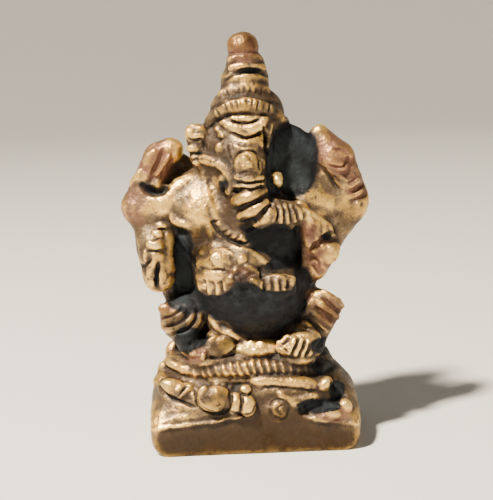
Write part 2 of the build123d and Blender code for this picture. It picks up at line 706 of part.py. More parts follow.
def safe(points, faces, everything, edges, best):
    """Marks edges that can shrink with no pinch, no face turned over and no sliver."""
    count = len(points)
    ones = np.ones(len(everything), int)
    links = sparse.coo_matrix((ones, everything.T), (count, count)).tocsr()
    links = links + links.T
    shared = np.asarray(links[edges[:, 0]].multiply(links[edges[:, 1]]).sum(axis=1)).ravel()
    fine = shared == 2
    place = np.full(count, -1)
    place[edges[:, 0]] = place[edges[:, 1]] = np.arange(len(edges))
    at = place[faces]
    touched = (at >= 0).sum(axis=1) == 1
    corner = at[touched]
    owner = corner.max(axis=1)
    ends = points[faces[touched]]
    old = np.cross(ends[:, 1] - ends[:, 0], ends[:, 2] - ends[:, 0])
    ends[corner >= 0] = best[owner]
    new = np.cross(ends[:, 1] - ends[:, 0], ends[:, 2] - ends[:, 0])
    lengths = np.linalg.norm(old, axis=1) * np.linalg.norm(new, axis=1)
    sides = np.linalg.norm(ends - np.roll(ends, 1, axis=1), axis=2).max(axis=1)
    turned = (old * new).sum(axis=1) < least_turn_cosine * lengths
    sliver = np.linalg.norm(new, axis=1) < least_face_share * sides**2
    fine[owner[turned | sliver]] = False
    return fine


def thin_out(points, faces, wanted):
    """Shrinks the edges that shape the surface least, many at a time, until few enough faces are left."""
    refused = np.zeros(len(points))
    sums = vertex_planes(points, faces)
    while len(faces) > wanted:
        count = len(points)
        pairs = np.sort(np.concatenate([faces[:, [0, 1]], faces[:, [1, 2]], faces[:, [2, 0]]]), axis=1)
        keys = np.unique(pairs[:, 0] * count + pairs[:, 1])
        everything = np.column_stack([keys // count, keys % count])
        best, cost = shape_costs(points, sums, everything)
        cost *= refused_factor ** (refused[everything[:, 0]] + refused[everything[:, 1]])
        order = np.argsort(cost)[: len(cost) // edges_tried]
        order = order[np.isfinite(cost[order])]
        edges, best = everything[order], best[order]
        chosen = apart(edges, everything, count)
        edges, best = edges[chosen], best[chosen]
        fine = safe(points, faces, everything, edges, best)
        refused[edges[~fine].ravel()] += 1
        room = (len(faces) - wanted + 1) // 2
        edges, best = edges[fine][:room], best[fine][:room]
        points[edges[:, 0]] = best
        sums[edges[:, 0]] += sums[edges[:, 1]]
        target = np.arange(count)
        target[edges[:, 1]] = edges[:, 0]
        faces = target[faces]
        whole = (faces[:, 0] != faces[:, 1]) & (faces[:, 1] != faces[:, 2]) & (faces[:, 2] != faces[:, 0])
        used, faces = np.unique(faces[whole], return_inverse=True)
        points, sums, refused, faces = points[used], sums[used], refused[used], faces.reshape(-1, 3)
    return points, faces


def ground_loop(points, faces):
    """The rim of the flat underside, as one ring of points."""
    flat = (points[faces][:, :, 2] == 0).all(axis=1)
    sides = np.concatenate([faces[flat][:, [0, 1]], faces[flat][:, [1, 2]], faces[flat][:, [2, 0]]])
    known = {(a, b) for a, b in sides.tolist()}
    onward = {a: b for a, b in known if (b, a) not in known}
    ring = [min(onward)]
    while onward[ring[-1]] != ring[0]:
        ring.append(onward[ring[-1]])
    return faces[~flat], ring


def solid_from(points, faces):
    """A solid with one flat face below and a small flat face for each triangle of the skin."""
    faces, ring = ground_loop(points, faces)
    corners = [tuple(point) for point in points.tolist()]
    shapes = [Face(Wire.make_polygon([corners[i] for i in ring], close=True))]
    shapes += [Face(Wire.make_polygon([corners[i] for i in face], close=True)) for face in faces.tolist()]
    return Solid(Shell(shapes))


points, faces = skin(model_figure(sample_pitch))
points, faces = thin_out(points, faces, face_count)
cast_figure = solid_from(points, faces)
os.makedirs("parts", exist_ok=True)
export_step(cast_figure, "parts/cast_figure.step")
print(f"cast_figure: {len(faces)} faces, {cast_figure.volume:.0f} cubic mm")
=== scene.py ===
import math

import bmesh
import bpy
import numpy as np
from bpy.props import FloatProperty, FloatVectorProperty, IntProperty, PointerProperty
from mathutils import Matrix, Vector, noise
from mathutils.bvhtree import BVHTree


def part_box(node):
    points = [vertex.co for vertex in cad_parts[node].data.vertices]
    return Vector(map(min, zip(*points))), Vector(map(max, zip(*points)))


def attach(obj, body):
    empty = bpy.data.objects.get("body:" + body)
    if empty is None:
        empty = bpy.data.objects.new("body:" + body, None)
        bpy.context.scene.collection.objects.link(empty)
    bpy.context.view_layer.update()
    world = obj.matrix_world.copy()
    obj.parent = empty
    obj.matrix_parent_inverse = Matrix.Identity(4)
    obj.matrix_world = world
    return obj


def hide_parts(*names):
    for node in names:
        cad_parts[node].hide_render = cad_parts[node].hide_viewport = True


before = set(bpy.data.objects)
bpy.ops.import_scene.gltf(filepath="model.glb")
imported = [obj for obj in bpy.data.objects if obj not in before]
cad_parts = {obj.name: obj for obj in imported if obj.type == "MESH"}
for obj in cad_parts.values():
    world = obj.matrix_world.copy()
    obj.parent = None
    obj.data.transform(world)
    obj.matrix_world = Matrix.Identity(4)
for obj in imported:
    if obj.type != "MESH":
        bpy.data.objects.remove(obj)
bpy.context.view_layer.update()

bl_info = {
    "name": "Cast bronze amulet",
    "version": (1, 0, 0),
    "blender": (4, 5, 0),
    "location": "3D View > Sidebar > Amulet",
    "description": "Sculpts and finishes a small cast amulet: a seated elephant-headed figure on a pedestal",
    "category": "Mesh",
}

# The casting is sculpted in millimetres and brought to metres when it is done.
MM = 0.001
NODE = "cast_figure"
FIGURE_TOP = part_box(NODE)[1][2] / MM

# The picture's plane. Relief is placed on it in millimetres: across from the middle of the flat front's
# lower edge, and up. EYE is where the casting is seen from, and SPREAD brings the plane to its front.
# Left and right are the picture's.
EYE_DISTANCE = 110.0
EYE_RISE = math.radians(10.0)
EYE = Vector((0, -EYE_DISTANCE * math.cos(EYE_RISE), FIGURE_TOP / 2 + EYE_DISTANCE * math.sin(EYE_RISE)))
AIM = Vector((-0.198, 0, 16.448))
FRONT_EDGE = Vector((0, -5.5, 0))
SPREAD = 105.94
AHEAD = (AIM - EYE).normalized()
ASIDE = AHEAD.cross(Vector((0, 0, 1))).normalized()
UPWARD = ASIDE.cross(AHEAD)
VIEW = Matrix((ASIDE, AHEAD, UPWARD)).transposed()
EDGE = FRONT_EDGE - EYE
EDGE_ACROSS = EDGE.dot(ASIDE) / EDGE.dot(AHEAD)
EDGE_UP = EDGE.dot(UPWARD) / EDGE.dot(AHEAD)

# Laying the clay: the first skin's grain over the last one's, steps along laid forms and drawn lines in
# millimetres, and the sides of a bar
FIRST_GRAIN = 1.2
FORM_STEP = 0.3
LINE_STEP = 0.2
BAR_SIDES = 14
# A boss reaches into the clay by this many times its rise, or by this share of its smaller half size
BOSS_ROOT = 1.6
BOSS_FULLNESS = 0.5
# A rib's radius at its ends over that in its middle, and how often the depth of ribs and rope is evened out
RIB_END = 0.75
RIB_EVENING = 2
ROPE_EVENING = 6

# Rubbing the CAD's relief flat: rounds of blurring, and those that soften the edges of the rubbed places
RUB_ROUNDS = 90
RUB_EDGE_ROUNDS = 6

# Drawing lines: sway of the hand and its size in millimetres, rounds that steady the direction of the cut,
# how far above the skin the look back to the eye starts, and how far apart two patterns of one noise lie
HAND_SWAY = (0.08, 0.9)
CUT_ROUNDS = 3
ABOVE_SKIN = 0.05
APART = 50
# A line's height at its ends over that in its middle, the half widths that its fading takes, and its width
# at its ends over that in its middle
LINE_END = 0.45
LINE_FADE = 3
LINE_TAPER = 0.6
# A notch's mean depth over the given one, and how far chance moves it
NOTCH_DEPTH = 0.7
NOTCH_UNEVENNESS = 1.2

# Skin left by the sand mould. Lumps: size in millimetres, share of the unevenness, place in the noise.
# Pits: size, how much of the noise leaves the skin whole, depth, place in the noise
SKIN_LUMPS = ((1.9, 1.0, 0), (0.75, 0.55, 20), (0.34, 0.45, 40))
SKIN_PITS = (0.42, 0.42, 2.4, 9)
# What lies lower than this is brought to the flat underside
UNDERSIDE = 0.05

# Reading the relief: rounds of blurring that its fine and broad forms stand out from, the level skin's value,
# what each millimetre adds, and how many millimetres of the broad forms count
RELIEF_ROUNDS = (10, 110)
LEVEL_SKIN = 0.43
FINE_SHARE = 4.5
BROAD_SHARE = 0.38
BROAD_LIMIT = 0.4
# Patches of skin: sway of their edges and its size in millimetres, rounds of blurring, where a patch ends and
# how wide its edge is in its half sizes, and how it fades where the skin turns away from the eye
PATCH_SWAY = (0.25, 1.4)
SKIN_ROUNDS = 3
PATCH_RIM = 1.3
PATCH_FADE = 0.5
FRONT_RIM = 0.6
FRONT_FADE = 2

# Bronze skin: sizes of its clouds, its flecks and the sand's grain, and depths of its grit and pits, all in
# millimetres
CLOUD_SIZE = 2.0
FLECK_SIZE = 0.4
SAND_SIZE = 0.15
GRIT_DEPTH = 0.03
PIT_DEPTH = 0.13
# What clouds, flecks, and wear with its painted highlights add to the relief and pocks take from it, how
# strongly brown skin with painted shade and copper show, how ragged the edge of the tarnish and painted shade
# is, and the colours of dull skin and of thick film, which the painted shade uses too
CLOUD_SHARE = 0.36
FLECK_SHARE = 0.34
WEAR_AND_HIGHLIGHT_SHARE = 0.22
POCK_SHARE = 0.20
DULL_AND_SHADE_SHARE = 0.75
COPPER_SHARE = 0.5
RAGGED_SHARE = 0.9
BROWN = "#332313"
SLATE = "#282e33"

# Stage: rise and bend of the paper over its radius, the surround's strength, and each light's name, place and
# size in metres, and power over the key light's
FLOOR_RISE = 0.8
FLOOR_BEND = 0.5
SURROUND_STRENGTH = 0.14
LIGHTS = (
    ("key_light", (-0.14, -0.13, 0.29), 0.03, 1.0),
    ("fill_light", (0.24, -0.26, 0.10), 0.24, 0.022),
)

# Crown: height, radius and step aside of its turned body, from the head up
CROWN_AXIS = (0.2, -0.2)
CROWN_CUT = 27.7
CROWN = (
    (26.2, 2.70, 0.00),
    (26.9, 3.20, 0.03),
    (27.4, 3.30, 0.03),
    (28.0, 3.20, 0.05),
    (28.5, 3.10, 0.10),
    (29.0, 2.96, 0.08),
    (29.35, 2.78, 0.06),
    (29.6, 2.58, 0.02),
    (29.8, 2.36, 0.02),
    (30.0, 2.12, 0.02),
    (30.3, 2.02, 0.00),
    (30.7, 2.03, 0.00),
    (31.0, 2.03, 0.00),
    (31.4, 2.00, 0.00),
    (31.6, 1.90, 0.05),
    (31.8, 1.78, 0.10),
    (32.1, 1.70, 0.14),
    (32.4, 1.62, 0.13),
    (32.7, 1.52, 0.08),
    (32.95, 1.36, 0.05),
    (33.15, 1.24, 0.00),
    (33.5, 1.10, 0.00),
)
# Its ball: place, half width, half height
CROWN_BALL = (0.18, -0.2, 33.74, 1.33, 1.27)
# Ribs round the back and sides of the crown: lowest and highest height, depth. They reach this far forward,
# as a share of the radius, and each is turned in some steps
CROWN_RIBS = ((27.9, 29.3, 0.07), (30.4, 31.3, 0.05))
CROWN_RIBS_REACH = 0.3
CROWN_RIB_COUNT = 52
CROWN_RIB_STEPS = 4

# Rope round the pedestal. In front, its middle line on the picture as across, up, half thickness and how far
# its strands stand out. Behind, as degrees round from the front, height, half thickness and strands.
ROPE_IN_FRONT = (
    (-6.75, 7.75, 0.42, 0.5),
    (-6.2, 7.42, 0.50, 0.7),
    (-5.3, 7.12, 0.58, 0.9),
    (-4.0, 7.0, 0.64, 1.1),
    (-2.0, 7.08, 0.68, 1.2),
    (0.0, 7.15, 0.68, 1.2),
    (2.0, 7.05, 0.72, 1.1),
    (4.0, 6.88, 0.74, 0.6),
    (5.3, 6.85, 0.74, 0.1),
)
ROPE_BEHIND = (
    (85, 6.4, 0.72, 0.2),
    (110, 6.6, 0.72, 0.8),
    (140, 6.9, 0.72, 1.0),
    (180, 7.0, 0.72, 1.0),
    (220, 7.0, 0.70, 1.0),
    (250, 7.0, 0.60, 0.8),
    (274, 7.1, 0.44, 0.4),
)
ROPE_PITCH = 0.62
# How deep its middle line lies in front and behind, its core and each strand's bulge, over its half thickness
ROPE_SUNK = 0.35
ROPE_SUNK_BEHIND = 0.8
ROPE_CORE = 0.9
STRAND_BULGE = 0.22
# A strand's half width over the pitch, its height over its bulge, and its lean
STRAND_WIDTH = 0.42
STRAND_HEIGHT = 0.95
STRAND_LEAN = math.radians(12)

# Places where the CAD's relief is rubbed flat before other relief is laid there:
# across, up, half width, half height, strength
RESTED = (
    (-6.7, 4.5, 1.7, 0.9, 1.0),
    (-7.4, 5.2, 0.9, 0.7, 1.0),
    (2.0, 3.6, 1.3, 1.1, 1.0),
    (6.6, 3.3, 2.0, 0.9, 0.8),
    (0.3, 8.9, 1.7, 0.8, 1.0),
    (-1.7, 25.2, 0.8, 0.9, 1.0),
    (-2.0, 22.6, 0.6, 0.9, 1.0),
    (-3.0, 21.6, 1.2, 2.6, 1.0),
    (-1.9, 20.2, 0.9, 1.3, 1.0),
    (-5.5, 19.2, 1.1, 0.8, 1.0),
    (-7.4, 17.0, 1.3, 2.4, 0.8),
    (-2.9, 15.8, 1.8, 1.6, 1.0),
    (-6.9, 24.2, 0.8, 1.2, 0.8),
    (7.1, 25.3, 1.3, 1.4, 0.9),
    (6.9, 22.2, 1.0, 1.2, 0.9),
    (5.5, 18.2, 1.1, 1.5, 0.9),
    (-5.2, 22.4, 1.3, 1.2, 1.0),
    (3.6, 4.5, 1.6, 0.7, 0.8),
)
# Places of the outline moved in the picture's plane: across, up, reach, move across, move up
MOVED = (
    (7.0, 13.4, 1.1, -0.25, -0.40),
    (-7.5, 8.7, 0.9, 0.30, 0.0),
    (6.9, 16.0, 0.9, 0.25, 0.10),
    (-4.6, 26.2, 0.8, -0.12, 0.0),
    (-4.5, 23.4, 1.3, 0.0, 0.55),
    (-6.6, 22.5, 1.0, 0.0, -0.50),
)

# Masses, the large rounded forms on the front. Across, up, half width, half height, rise, turn in degrees
MASSES = (
    # mound: beast's head, body, paws, boss, disc and knob
    (-7.3, 7.3, 0.75, 0.8, 0.30, 30),
    (-6.7, 8.9, 0.55, 0.95, 0.45, 25),
    (-6.4, 5.6, 1.45, 0.72, 0.34, 26),
    (-3.38, 4.70, 1.45, 1.10, 0.40, -4),
    (-1.70, 4.25, 0.78, 0.95, 0.40, 14),
    (-0.62, 4.02, 0.78, 0.92, 0.36, 0),
    (2.0, 3.6, 0.86, 0.80, 0.10, 0),
    (5.80, 5.5, 0.82, 0.56, 0.42, -38),
    (5.6, 2.75, 1.5, 0.40, 0.16, -4),
    (6.4, 3.1, 0.80, 0.52, 0.34, 10),
    (7.4, 3.6, 0.66, 0.72, 0.36, -15),
    # feet, and the cloth between and beside them
    (-2.65, 9.0, 1.30, 0.86, 0.12, 10),
    (-3.1, 9.75, 0.70, 0.60, 0.80, 30),
    (-4.78, 8.5, 0.58, 0.46, 0.42, 35),
    (-4.15, 8.22, 0.42, 0.50, 0.36, 0),
    (3.7, 8.95, 1.90, 0.92, 0.40, -12),
    (-3.1, 10.75, 0.60, 1.05, 0.75, -24),
    (-2.6, 10.25, 0.80, 0.55, 0.75, 25),
    (-1.9, 9.85, 0.80, 0.40, 0.80, 30),
    (5.0, 10.3, 1.15, 0.80, 0.45, 40),
    # floor between the feet
    (0.2, 8.75, 3.70, 1.40, 1.95, 0),
    # knees
    (-6.95, 12.25, 0.85, 0.60, 0.24, 12),
    (5.9, 12.1, 1.40, 1.20, 0.36, 40),
    (4.75, 12.0, 0.55, 1.05, 0.35, 38),
    # forearms laid over the belly, and the hand's back
    (-0.5, 15.7, 1.4, 1.2, 0.20, 20),
    (-0.8, 14.35, 1.1, 0.7, 0.22, 0),
    (2.2, 14.3, 1.6, 0.55, 0.14, 0),
    # root of the trunk
    (0.2, 23.75, 1.18, 1.32, 0.34, 0),
    (0.1, 25.55, 1.55, 0.62, 0.20, 0),
    # ear ornament
    (-3.85, 26.6, 1.10, 0.92, 0.30, 20),
    # tusk
    (2.62, 22.5, 0.66, 0.80, 0.9, -20),
    # palm held down on the right, and its heel
    (6.3, 16.3, 1.2, 0.95, 0.32, 0),
    (6.85, 16.75, 0.75, 0.70, 0.40, 0),
)

# Ribs, the long forms laid over the masses. Radius, rise, then places across and up
RIBS = (
    # crown: band, bulb and two upper tiers, each arched over the brow
    (0.78, 0.30, ((-1.9, 28.4), (-1.2, 28.72), (-0.5, 28.87), (0.4, 28.9), (1.3, 28.78), (2.1, 28.45))),
    (0.55, 0.20, ((-2.85, 27.55), (-2.45, 28.0), (-1.9, 28.4))),
    (0.55, 0.20, ((2.1, 28.45), (2.65, 28.05), (3.05, 27.6))),
    (0.80, 0.24, ((-1.5, 29.75), (-0.7, 30.15), (0.2, 30.28), (1.1, 30.2), (1.8, 29.95))),
    (0.40, 0.24, ((-0.85, 31.95), (-0.2, 32.12), (0.5, 32.16), (1.2, 32.08), (1.75, 31.9))),
    (0.38, 0.16, ((-0.85, 32.7), (-0.2, 32.84), (0.4, 32.86), (1.0, 32.8), (1.45, 32.66))),
    # mound: strokes of the beast's head, upper and lower ledges
    (0.30, 0.24, ((-6.35, 5.0), (-5.9, 5.3), (-5.3, 5.8))),
    (0.24, 0.16, ((-6.5, 5.5), (-6.1, 5.75), (-5.55, 6.0))),
    (0.62, 0.24, ((-0.1, 6.0), (1.2, 5.95), (2.6, 5.8), (3.8, 5.6), (4.9, 5.45))),
    (0.60, 0.12, ((1.0, 5.15), (2.6, 5.0), (4.2, 4.85))),
    (0.30, 0.20, ((1.9, 5.05), (2.6, 4.62), (3.5, 4.35), (5.0, 4.65))),
    (0.42, 0.20, ((2.2, 4.75), (3.0, 4.15), (3.9, 3.75))),
    (0.36, 0.26, ((-3.6, 6.25), (-2.2, 6.15), (-1.3, 6.15), (-0.3, 6.05))),
    # toes
    (0.30, 0.14, ((-4.2, 8.95), (-3.6, 9.3), (-3.1, 9.75))),
    (0.25, 0.24, ((2.15, 9.15), (2.4, 9.05))),
    (0.22, 0.22, ((2.35, 8.6), (2.75, 8.8))),
    (0.25, 0.24, ((2.55, 9.35), (2.95, 9.65))),
    (0.27, 0.26, ((2.95, 8.25), (3.25, 8.8), (3.5, 9.4))),
    (0.27, 0.26, ((3.5, 8.1), (3.85, 8.7), (4.1, 9.3))),
    (0.26, 0.26, ((4.05, 8.0), (4.35, 8.5), (4.6, 9.1))),
    (0.24, 0.24, ((4.6, 8.0), (4.85, 8.4), (5.05, 8.85))),
    # hem of the garment beside the left foot
    (0.42, 0.45, ((-3.3, 11.4), (-2.8, 10.75), (-2.1, 10.2), (-1.3, 9.75), (-0.6, 9.5))),
    # front edge of the floor, above the rope and under the left foot
    (0.42, 0.45, ((-3.3, 7.9), (-2.6, 7.9), (-1.8, 7.95), (-1.2, 8.05))),
    (0.50, 0.42, ((-5.0, 7.75), (-2.0, 7.75), (-0.5, 7.8), (1.5, 7.8), (3.2, 7.75), (4.8, 7.7))),
    # folds of the left leg
    (0.28, 0.24, ((-7.35, 11.15), (-6.6, 11.3), (-5.9, 11.7), (-5.45, 12.1))),
    (0.28, 0.24, ((-7.0, 10.5), (-6.2, 10.6), (-5.5, 10.95), (-4.95, 11.5), (-4.7, 12.1))),
    (0.26, 0.22, ((-6.2, 10.05), (-5.5, 10.15), (-4.9, 10.5), (-4.4, 11.2), (-4.25, 11.8))),
    # folds of the right leg
    (0.34, 0.26, ((6.0, 13.15), (6.8, 12.6), (7.5, 11.95))),
    (0.36, 0.26, ((5.5, 12.45), (6.2, 11.85), (7.05, 11.05))),
    (0.36, 0.24, ((4.9, 11.75), (5.6, 11.2), (6.45, 10.45))),
    (0.28, 0.24, ((3.85, 10.6), (4.6, 10.05), (5.5, 9.45))),
    # forearm laid over the belly: its slab, and the slope from it up to the cloth
    (0.62, 0.26, ((-3.95, 16.35), (-3.0, 16.55), (-2.2, 16.6), (-1.4, 16.4))),
    (0.62, 0.26, ((-4.0, 15.85), (-3.0, 15.95), (-2.2, 15.95), (-1.4, 15.9))),
    (0.62, 0.26, ((-4.05, 15.35), (-3.0, 15.4), (-2.2, 15.4), (-1.5, 15.4))),
    (0.62, 0.26, ((-4.1, 14.85), (-3.0, 14.85), (-2.2, 14.85), (-1.7, 14.85))),
    (0.80, 0.75, ((-3.6, 16.95), (-2.7, 17.2), (-1.8, 17.15))),
    (0.50, 0.12, ((-3.9, 14.1), (-3.0, 14.0), (-2.0, 13.95))),
    (0.45, 0.10, ((0.9, 14.0), (1.8, 13.95), (3.0, 13.95))),
    # left hand below the belt: ledge and fingers
    (0.40, 0.30, ((-4.05, 14.5), (-3.98, 13.8))),
    (0.38, 0.32, ((-3.35, 14.5), (-3.25, 13.5))),
    (0.36, 0.32, ((-2.68, 14.45), (-2.65, 13.4))),
    (0.36, 0.30, ((-2.05, 14.3), (-1.95, 13.5))),
    # right hand below the belt
    (0.30, 0.20, ((1.2, 14.4), (2.1, 14.5), (3.0, 14.3))),
    (0.32, 0.24, ((0.95, 14.1), (0.85, 13.6))),
    (0.34, 0.26, ((1.55, 14.4), (1.5, 13.6))),
    (0.34, 0.28, ((2.15, 14.5), (2.2, 13.5))),
    (0.34, 0.26, ((2.75, 14.3), (2.8, 13.6))),
    (0.36, 0.28, ((3.42, 14.15), (3.48, 13.9))),
    # fingers that meet over the belt
    (0.34, 0.28, ((-0.25, 15.55), (0.2, 15.2), (0.7, 14.75))),
    # edge of the cloth over the chest
    (0.50, 0.26, ((-3.15, 18.9), (-2.95, 18.1), (-2.45, 17.5), (-1.5, 17.05), (-0.4, 16.8))),
    (0.34, 0.16, ((-0.4, 16.8), (0.3, 16.5), (1.0, 15.95), (1.6, 15.35))),
    # sacred thread, a soft broad band
    (0.45, 0.07, ((-3.35, 23.6), (-3.3, 22.2), (-3.1, 20.8), (-2.7, 19.9))),
    (0.50, 0.16, ((-2.85, 20.2), (-2.3, 19.3), (-1.6, 18.6), (-0.6, 17.95))),
    # face: brow folds, temple and cheek
    (0.30, 0.16, ((-1.0, 27.9), (0.1, 27.8), (1.3, 27.95))),
    (0.48, 0.28, ((-1.65, 27.6), (-0.9, 27.05), (0.1, 26.8), (1.0, 26.98), (1.7, 27.55))),
    (0.42, 0.20, ((-1.15, 26.2), (-0.5, 25.85), (0.3, 25.7), (1.0, 25.9), (1.45, 26.35))),
    (0.20, 0.20, ((2.3, 27.2), (2.05, 26.3), (1.9, 25.2))),
    (0.28, 0.24, ((-2.25, 27.05), (-2.0, 26.75), (-1.75, 26.35))),
    (0.52, 0.34, ((-3.5, 24.6), (-2.7, 24.35), (-1.9, 23.95), (-1.35, 23.3), (-1.15, 22.5), (-1.35, 21.8))),
    # lip, wrinkles and folds of the trunk
    (0.36, 0.28, ((-0.75, 22.95), (-0.2, 22.78), (0.5, 22.7), (1.35, 22.8))),
    (0.24, 0.18, ((-1.05, 22.25), (-0.5, 22.28), (0.1, 22.08), (0.7, 22.15), (1.3, 22.28))),
    (0.55, 0.34, ((-0.95, 20.95), (-0.2, 21.2), (0.7, 21.45), (1.4, 21.75))),
    (0.44, 0.46, ((-0.6, 19.65), (0.1, 19.95), (0.8, 20.3), (1.55, 20.75))),
    (0.42, 0.60, ((0.65, 19.0), (1.15, 19.2), (1.6, 19.5), (1.9, 20.0))),
    (0.32, 0.28, ((2.15, 20.5), (2.2, 19.9), (2.1, 19.3))),
    (0.30, 0.28, ((2.6, 20.5), (2.78, 19.9), (2.72, 19.1))),
    (0.31, 0.28, ((3.1, 20.45), (3.32, 19.8), (3.3, 19.05))),
    (0.30, 0.28, ((3.6, 20.4), (3.85, 19.8), (3.87, 19.15))),
    (0.29, 0.26, ((4.0, 20.3), (4.32, 19.8), (4.4, 19.3))),
    # cuff over the folds
    (0.34, 0.14, ((2.0, 20.9), (2.4, 20.7), (2.7, 20.35))),
    (0.34, 0.14, ((2.6, 20.75), (3.0, 20.6), (3.35, 20.25))),
    (0.34, 0.14, ((3.2, 20.6), (3.6, 20.45), (4.0, 20.15))),
    # hand raised on the left
    (0.21, 0.30, ((-6.25, 24.9), (-6.8, 24.15), (-7.4, 23.35))),
    (0.38, 0.20, ((-7.3, 25.5), (-7.9, 24.9), (-8.3, 24.3))),
    (0.38, 0.18, ((-8.6, 23.8), (-8.9, 23.3), (-9.4, 22.7))),
    # top of the left shoulder
    (0.95, 0.22, ((-6.2, 21.7), (-5.5, 22.2), (-4.6, 22.8))),
    # lobe under the left shoulder
    (0.50, 0.24, ((-6.2, 20.1), (-5.9, 19.6), (-5.4, 19.3), (-4.8, 19.2))),
    # hand held down on the left: the wrist's strip and the fingers
    (0.72, 0.16, ((-6.8, 19.2), (-6.8, 17.5), (-6.8, 15.8))),
    (0.50, 0.20, ((-6.5, 19.3), (-6.5, 17.3), (-6.5, 15.5))),
    (0.42, 0.22, ((-8.45, 17.0), (-8.5, 16.5))),
    (0.38, 0.24, ((-7.85, 16.6), (-8.05, 15.8), (-8.3, 15.1))),
    (0.34, 0.14, ((-6.8, 16.4), (-6.75, 15.4))),
    # hand raised on the right: its middle ridge and two fingers
    (0.28, 0.12, ((6.8, 23.3), (7.4, 22.95), (7.95, 22.55), (8.4, 22.3))),
    (0.22, 0.14, ((8.6, 21.75), (9.3, 22.3))),
    (0.22, 0.12, ((8.8, 20.9), (9.5, 21.4))),
    # arm held down on the right: the cuff's face and upper edge, and the hand's fold
    (0.60, 0.30, ((4.95, 19.5), (4.95, 18.3), (5.05, 17.2))),
    (0.60, 0.30, ((5.45, 19.2), (5.5, 18.4), (5.6, 17.6))),
    (0.50, 0.26, ((6.0, 18.8), (6.2, 18.2))),
    (0.34, 0.42, ((4.7, 20.0), (5.4, 19.5), (6.2, 18.9), (6.9, 18.3))),
    (0.40, 0.16, ((5.4, 16.6), (6.1, 16.85), (6.8, 16.9))),
)

# Beads, the small rounded forms laid over the ribs. Across, up, half width, half height, rise, turn
BEADS = (
    # mound
    (-0.75, 5.32, 0.50, 0.46, 0.26, 0),
    (-4.2, 5.35, 0.40, 0.52, 0.20, 30),
    (-2.55, 5.65, 0.26, 0.26, 0.16, 0),
    (-1.95, 5.55, 0.24, 0.24, 0.16, 0),
    (2.1, 3.6, 0.36, 0.40, 0.06, 0),
    # rosettes between the feet
    (0.2, 8.5, 0.26, 0.26, 0.12, 0),
    (1.1, 8.5, 0.24, 0.24, 0.12, 0),
    (-0.6, 8.7, 0.28, 0.28, 0.10, 0),
    (-0.1, 9.2, 0.30, 0.24, 0.08, 0),
    (0.7, 9.15, 0.28, 0.24, 0.08, 0),
    # belt
    (-0.58, 16.12, 0.50, 0.48, 0.28, 0),
    (-1.12, 15.15, 0.42, 0.40, 0.26, 0),
    (-1.55, 14.55, 0.46, 0.44, 0.26, 0),
    (-0.95, 14.45, 0.42, 0.42, 0.20, 0),
    (-0.35, 14.8, 0.42, 0.42, 0.20, 0),
    (0.25, 14.25, 0.40, 0.38, 0.18, 0),
    (-2.4, 16.15, 0.85, 0.68, 0.17, 20),
    (-2.4, 16.35, 0.42, 0.34, 0.14, -30),
    (-1.6, 13.7, 0.26, 0.26, 0.18, 0),
    (-1.0, 13.8, 0.30, 0.28, 0.16, 0),
    (-0.45, 14.2, 0.42, 0.40, 0.20, 0),
    # face
    (-0.05, 24.35, 0.34, 0.40, 0.18, -30),
    (0.28, 23.95, 0.34, 0.36, 0.20, 0),
    (-0.1, 23.75, 0.26, 0.26, 0.12, 0),
    (1.38, 23.9, 0.28, 0.48, 0.20, 8),
    (-1.9, 22.7, 0.50, 0.88, 0.75, 6),
    (-1.95, 25.35, 0.55, 0.58, 0.26, 0),
    # ear ornament
    (-4.4, 26.85, 0.42, 0.36, 0.16, 20),
    (-3.6, 27.1, 0.42, 0.26, 0.14, -20),
    (-3.85, 26.45, 0.60, 0.20, 0.12, 10),
    (-4.12, 25.45, 0.76, 0.48, 0.36, 0),
    (-4.0, 24.72, 0.55, 0.28, 0.26, 0),
    (-3.85, 24.32, 0.60, 0.30, 0.26, 0),
    # bangles of the hand held down on the left
    (-7.05, 19.2, 0.66, 0.36, 0.36, 5),
    (-7.5, 18.5, 0.58, 0.42, 0.38, 30),
    (-7.75, 17.6, 0.82, 0.50, 0.38, 20),
    # spot in the crook of the raised arm on the left
    (-6.85, 22.42, 0.58, 0.22, 0.14, 0),
    # knuckles of the hand held down on the right
    (6.7, 16.75, 0.34, 0.30, 0.16, 0),
    (6.1, 16.9, 0.28, 0.26, 0.12, 0),
)

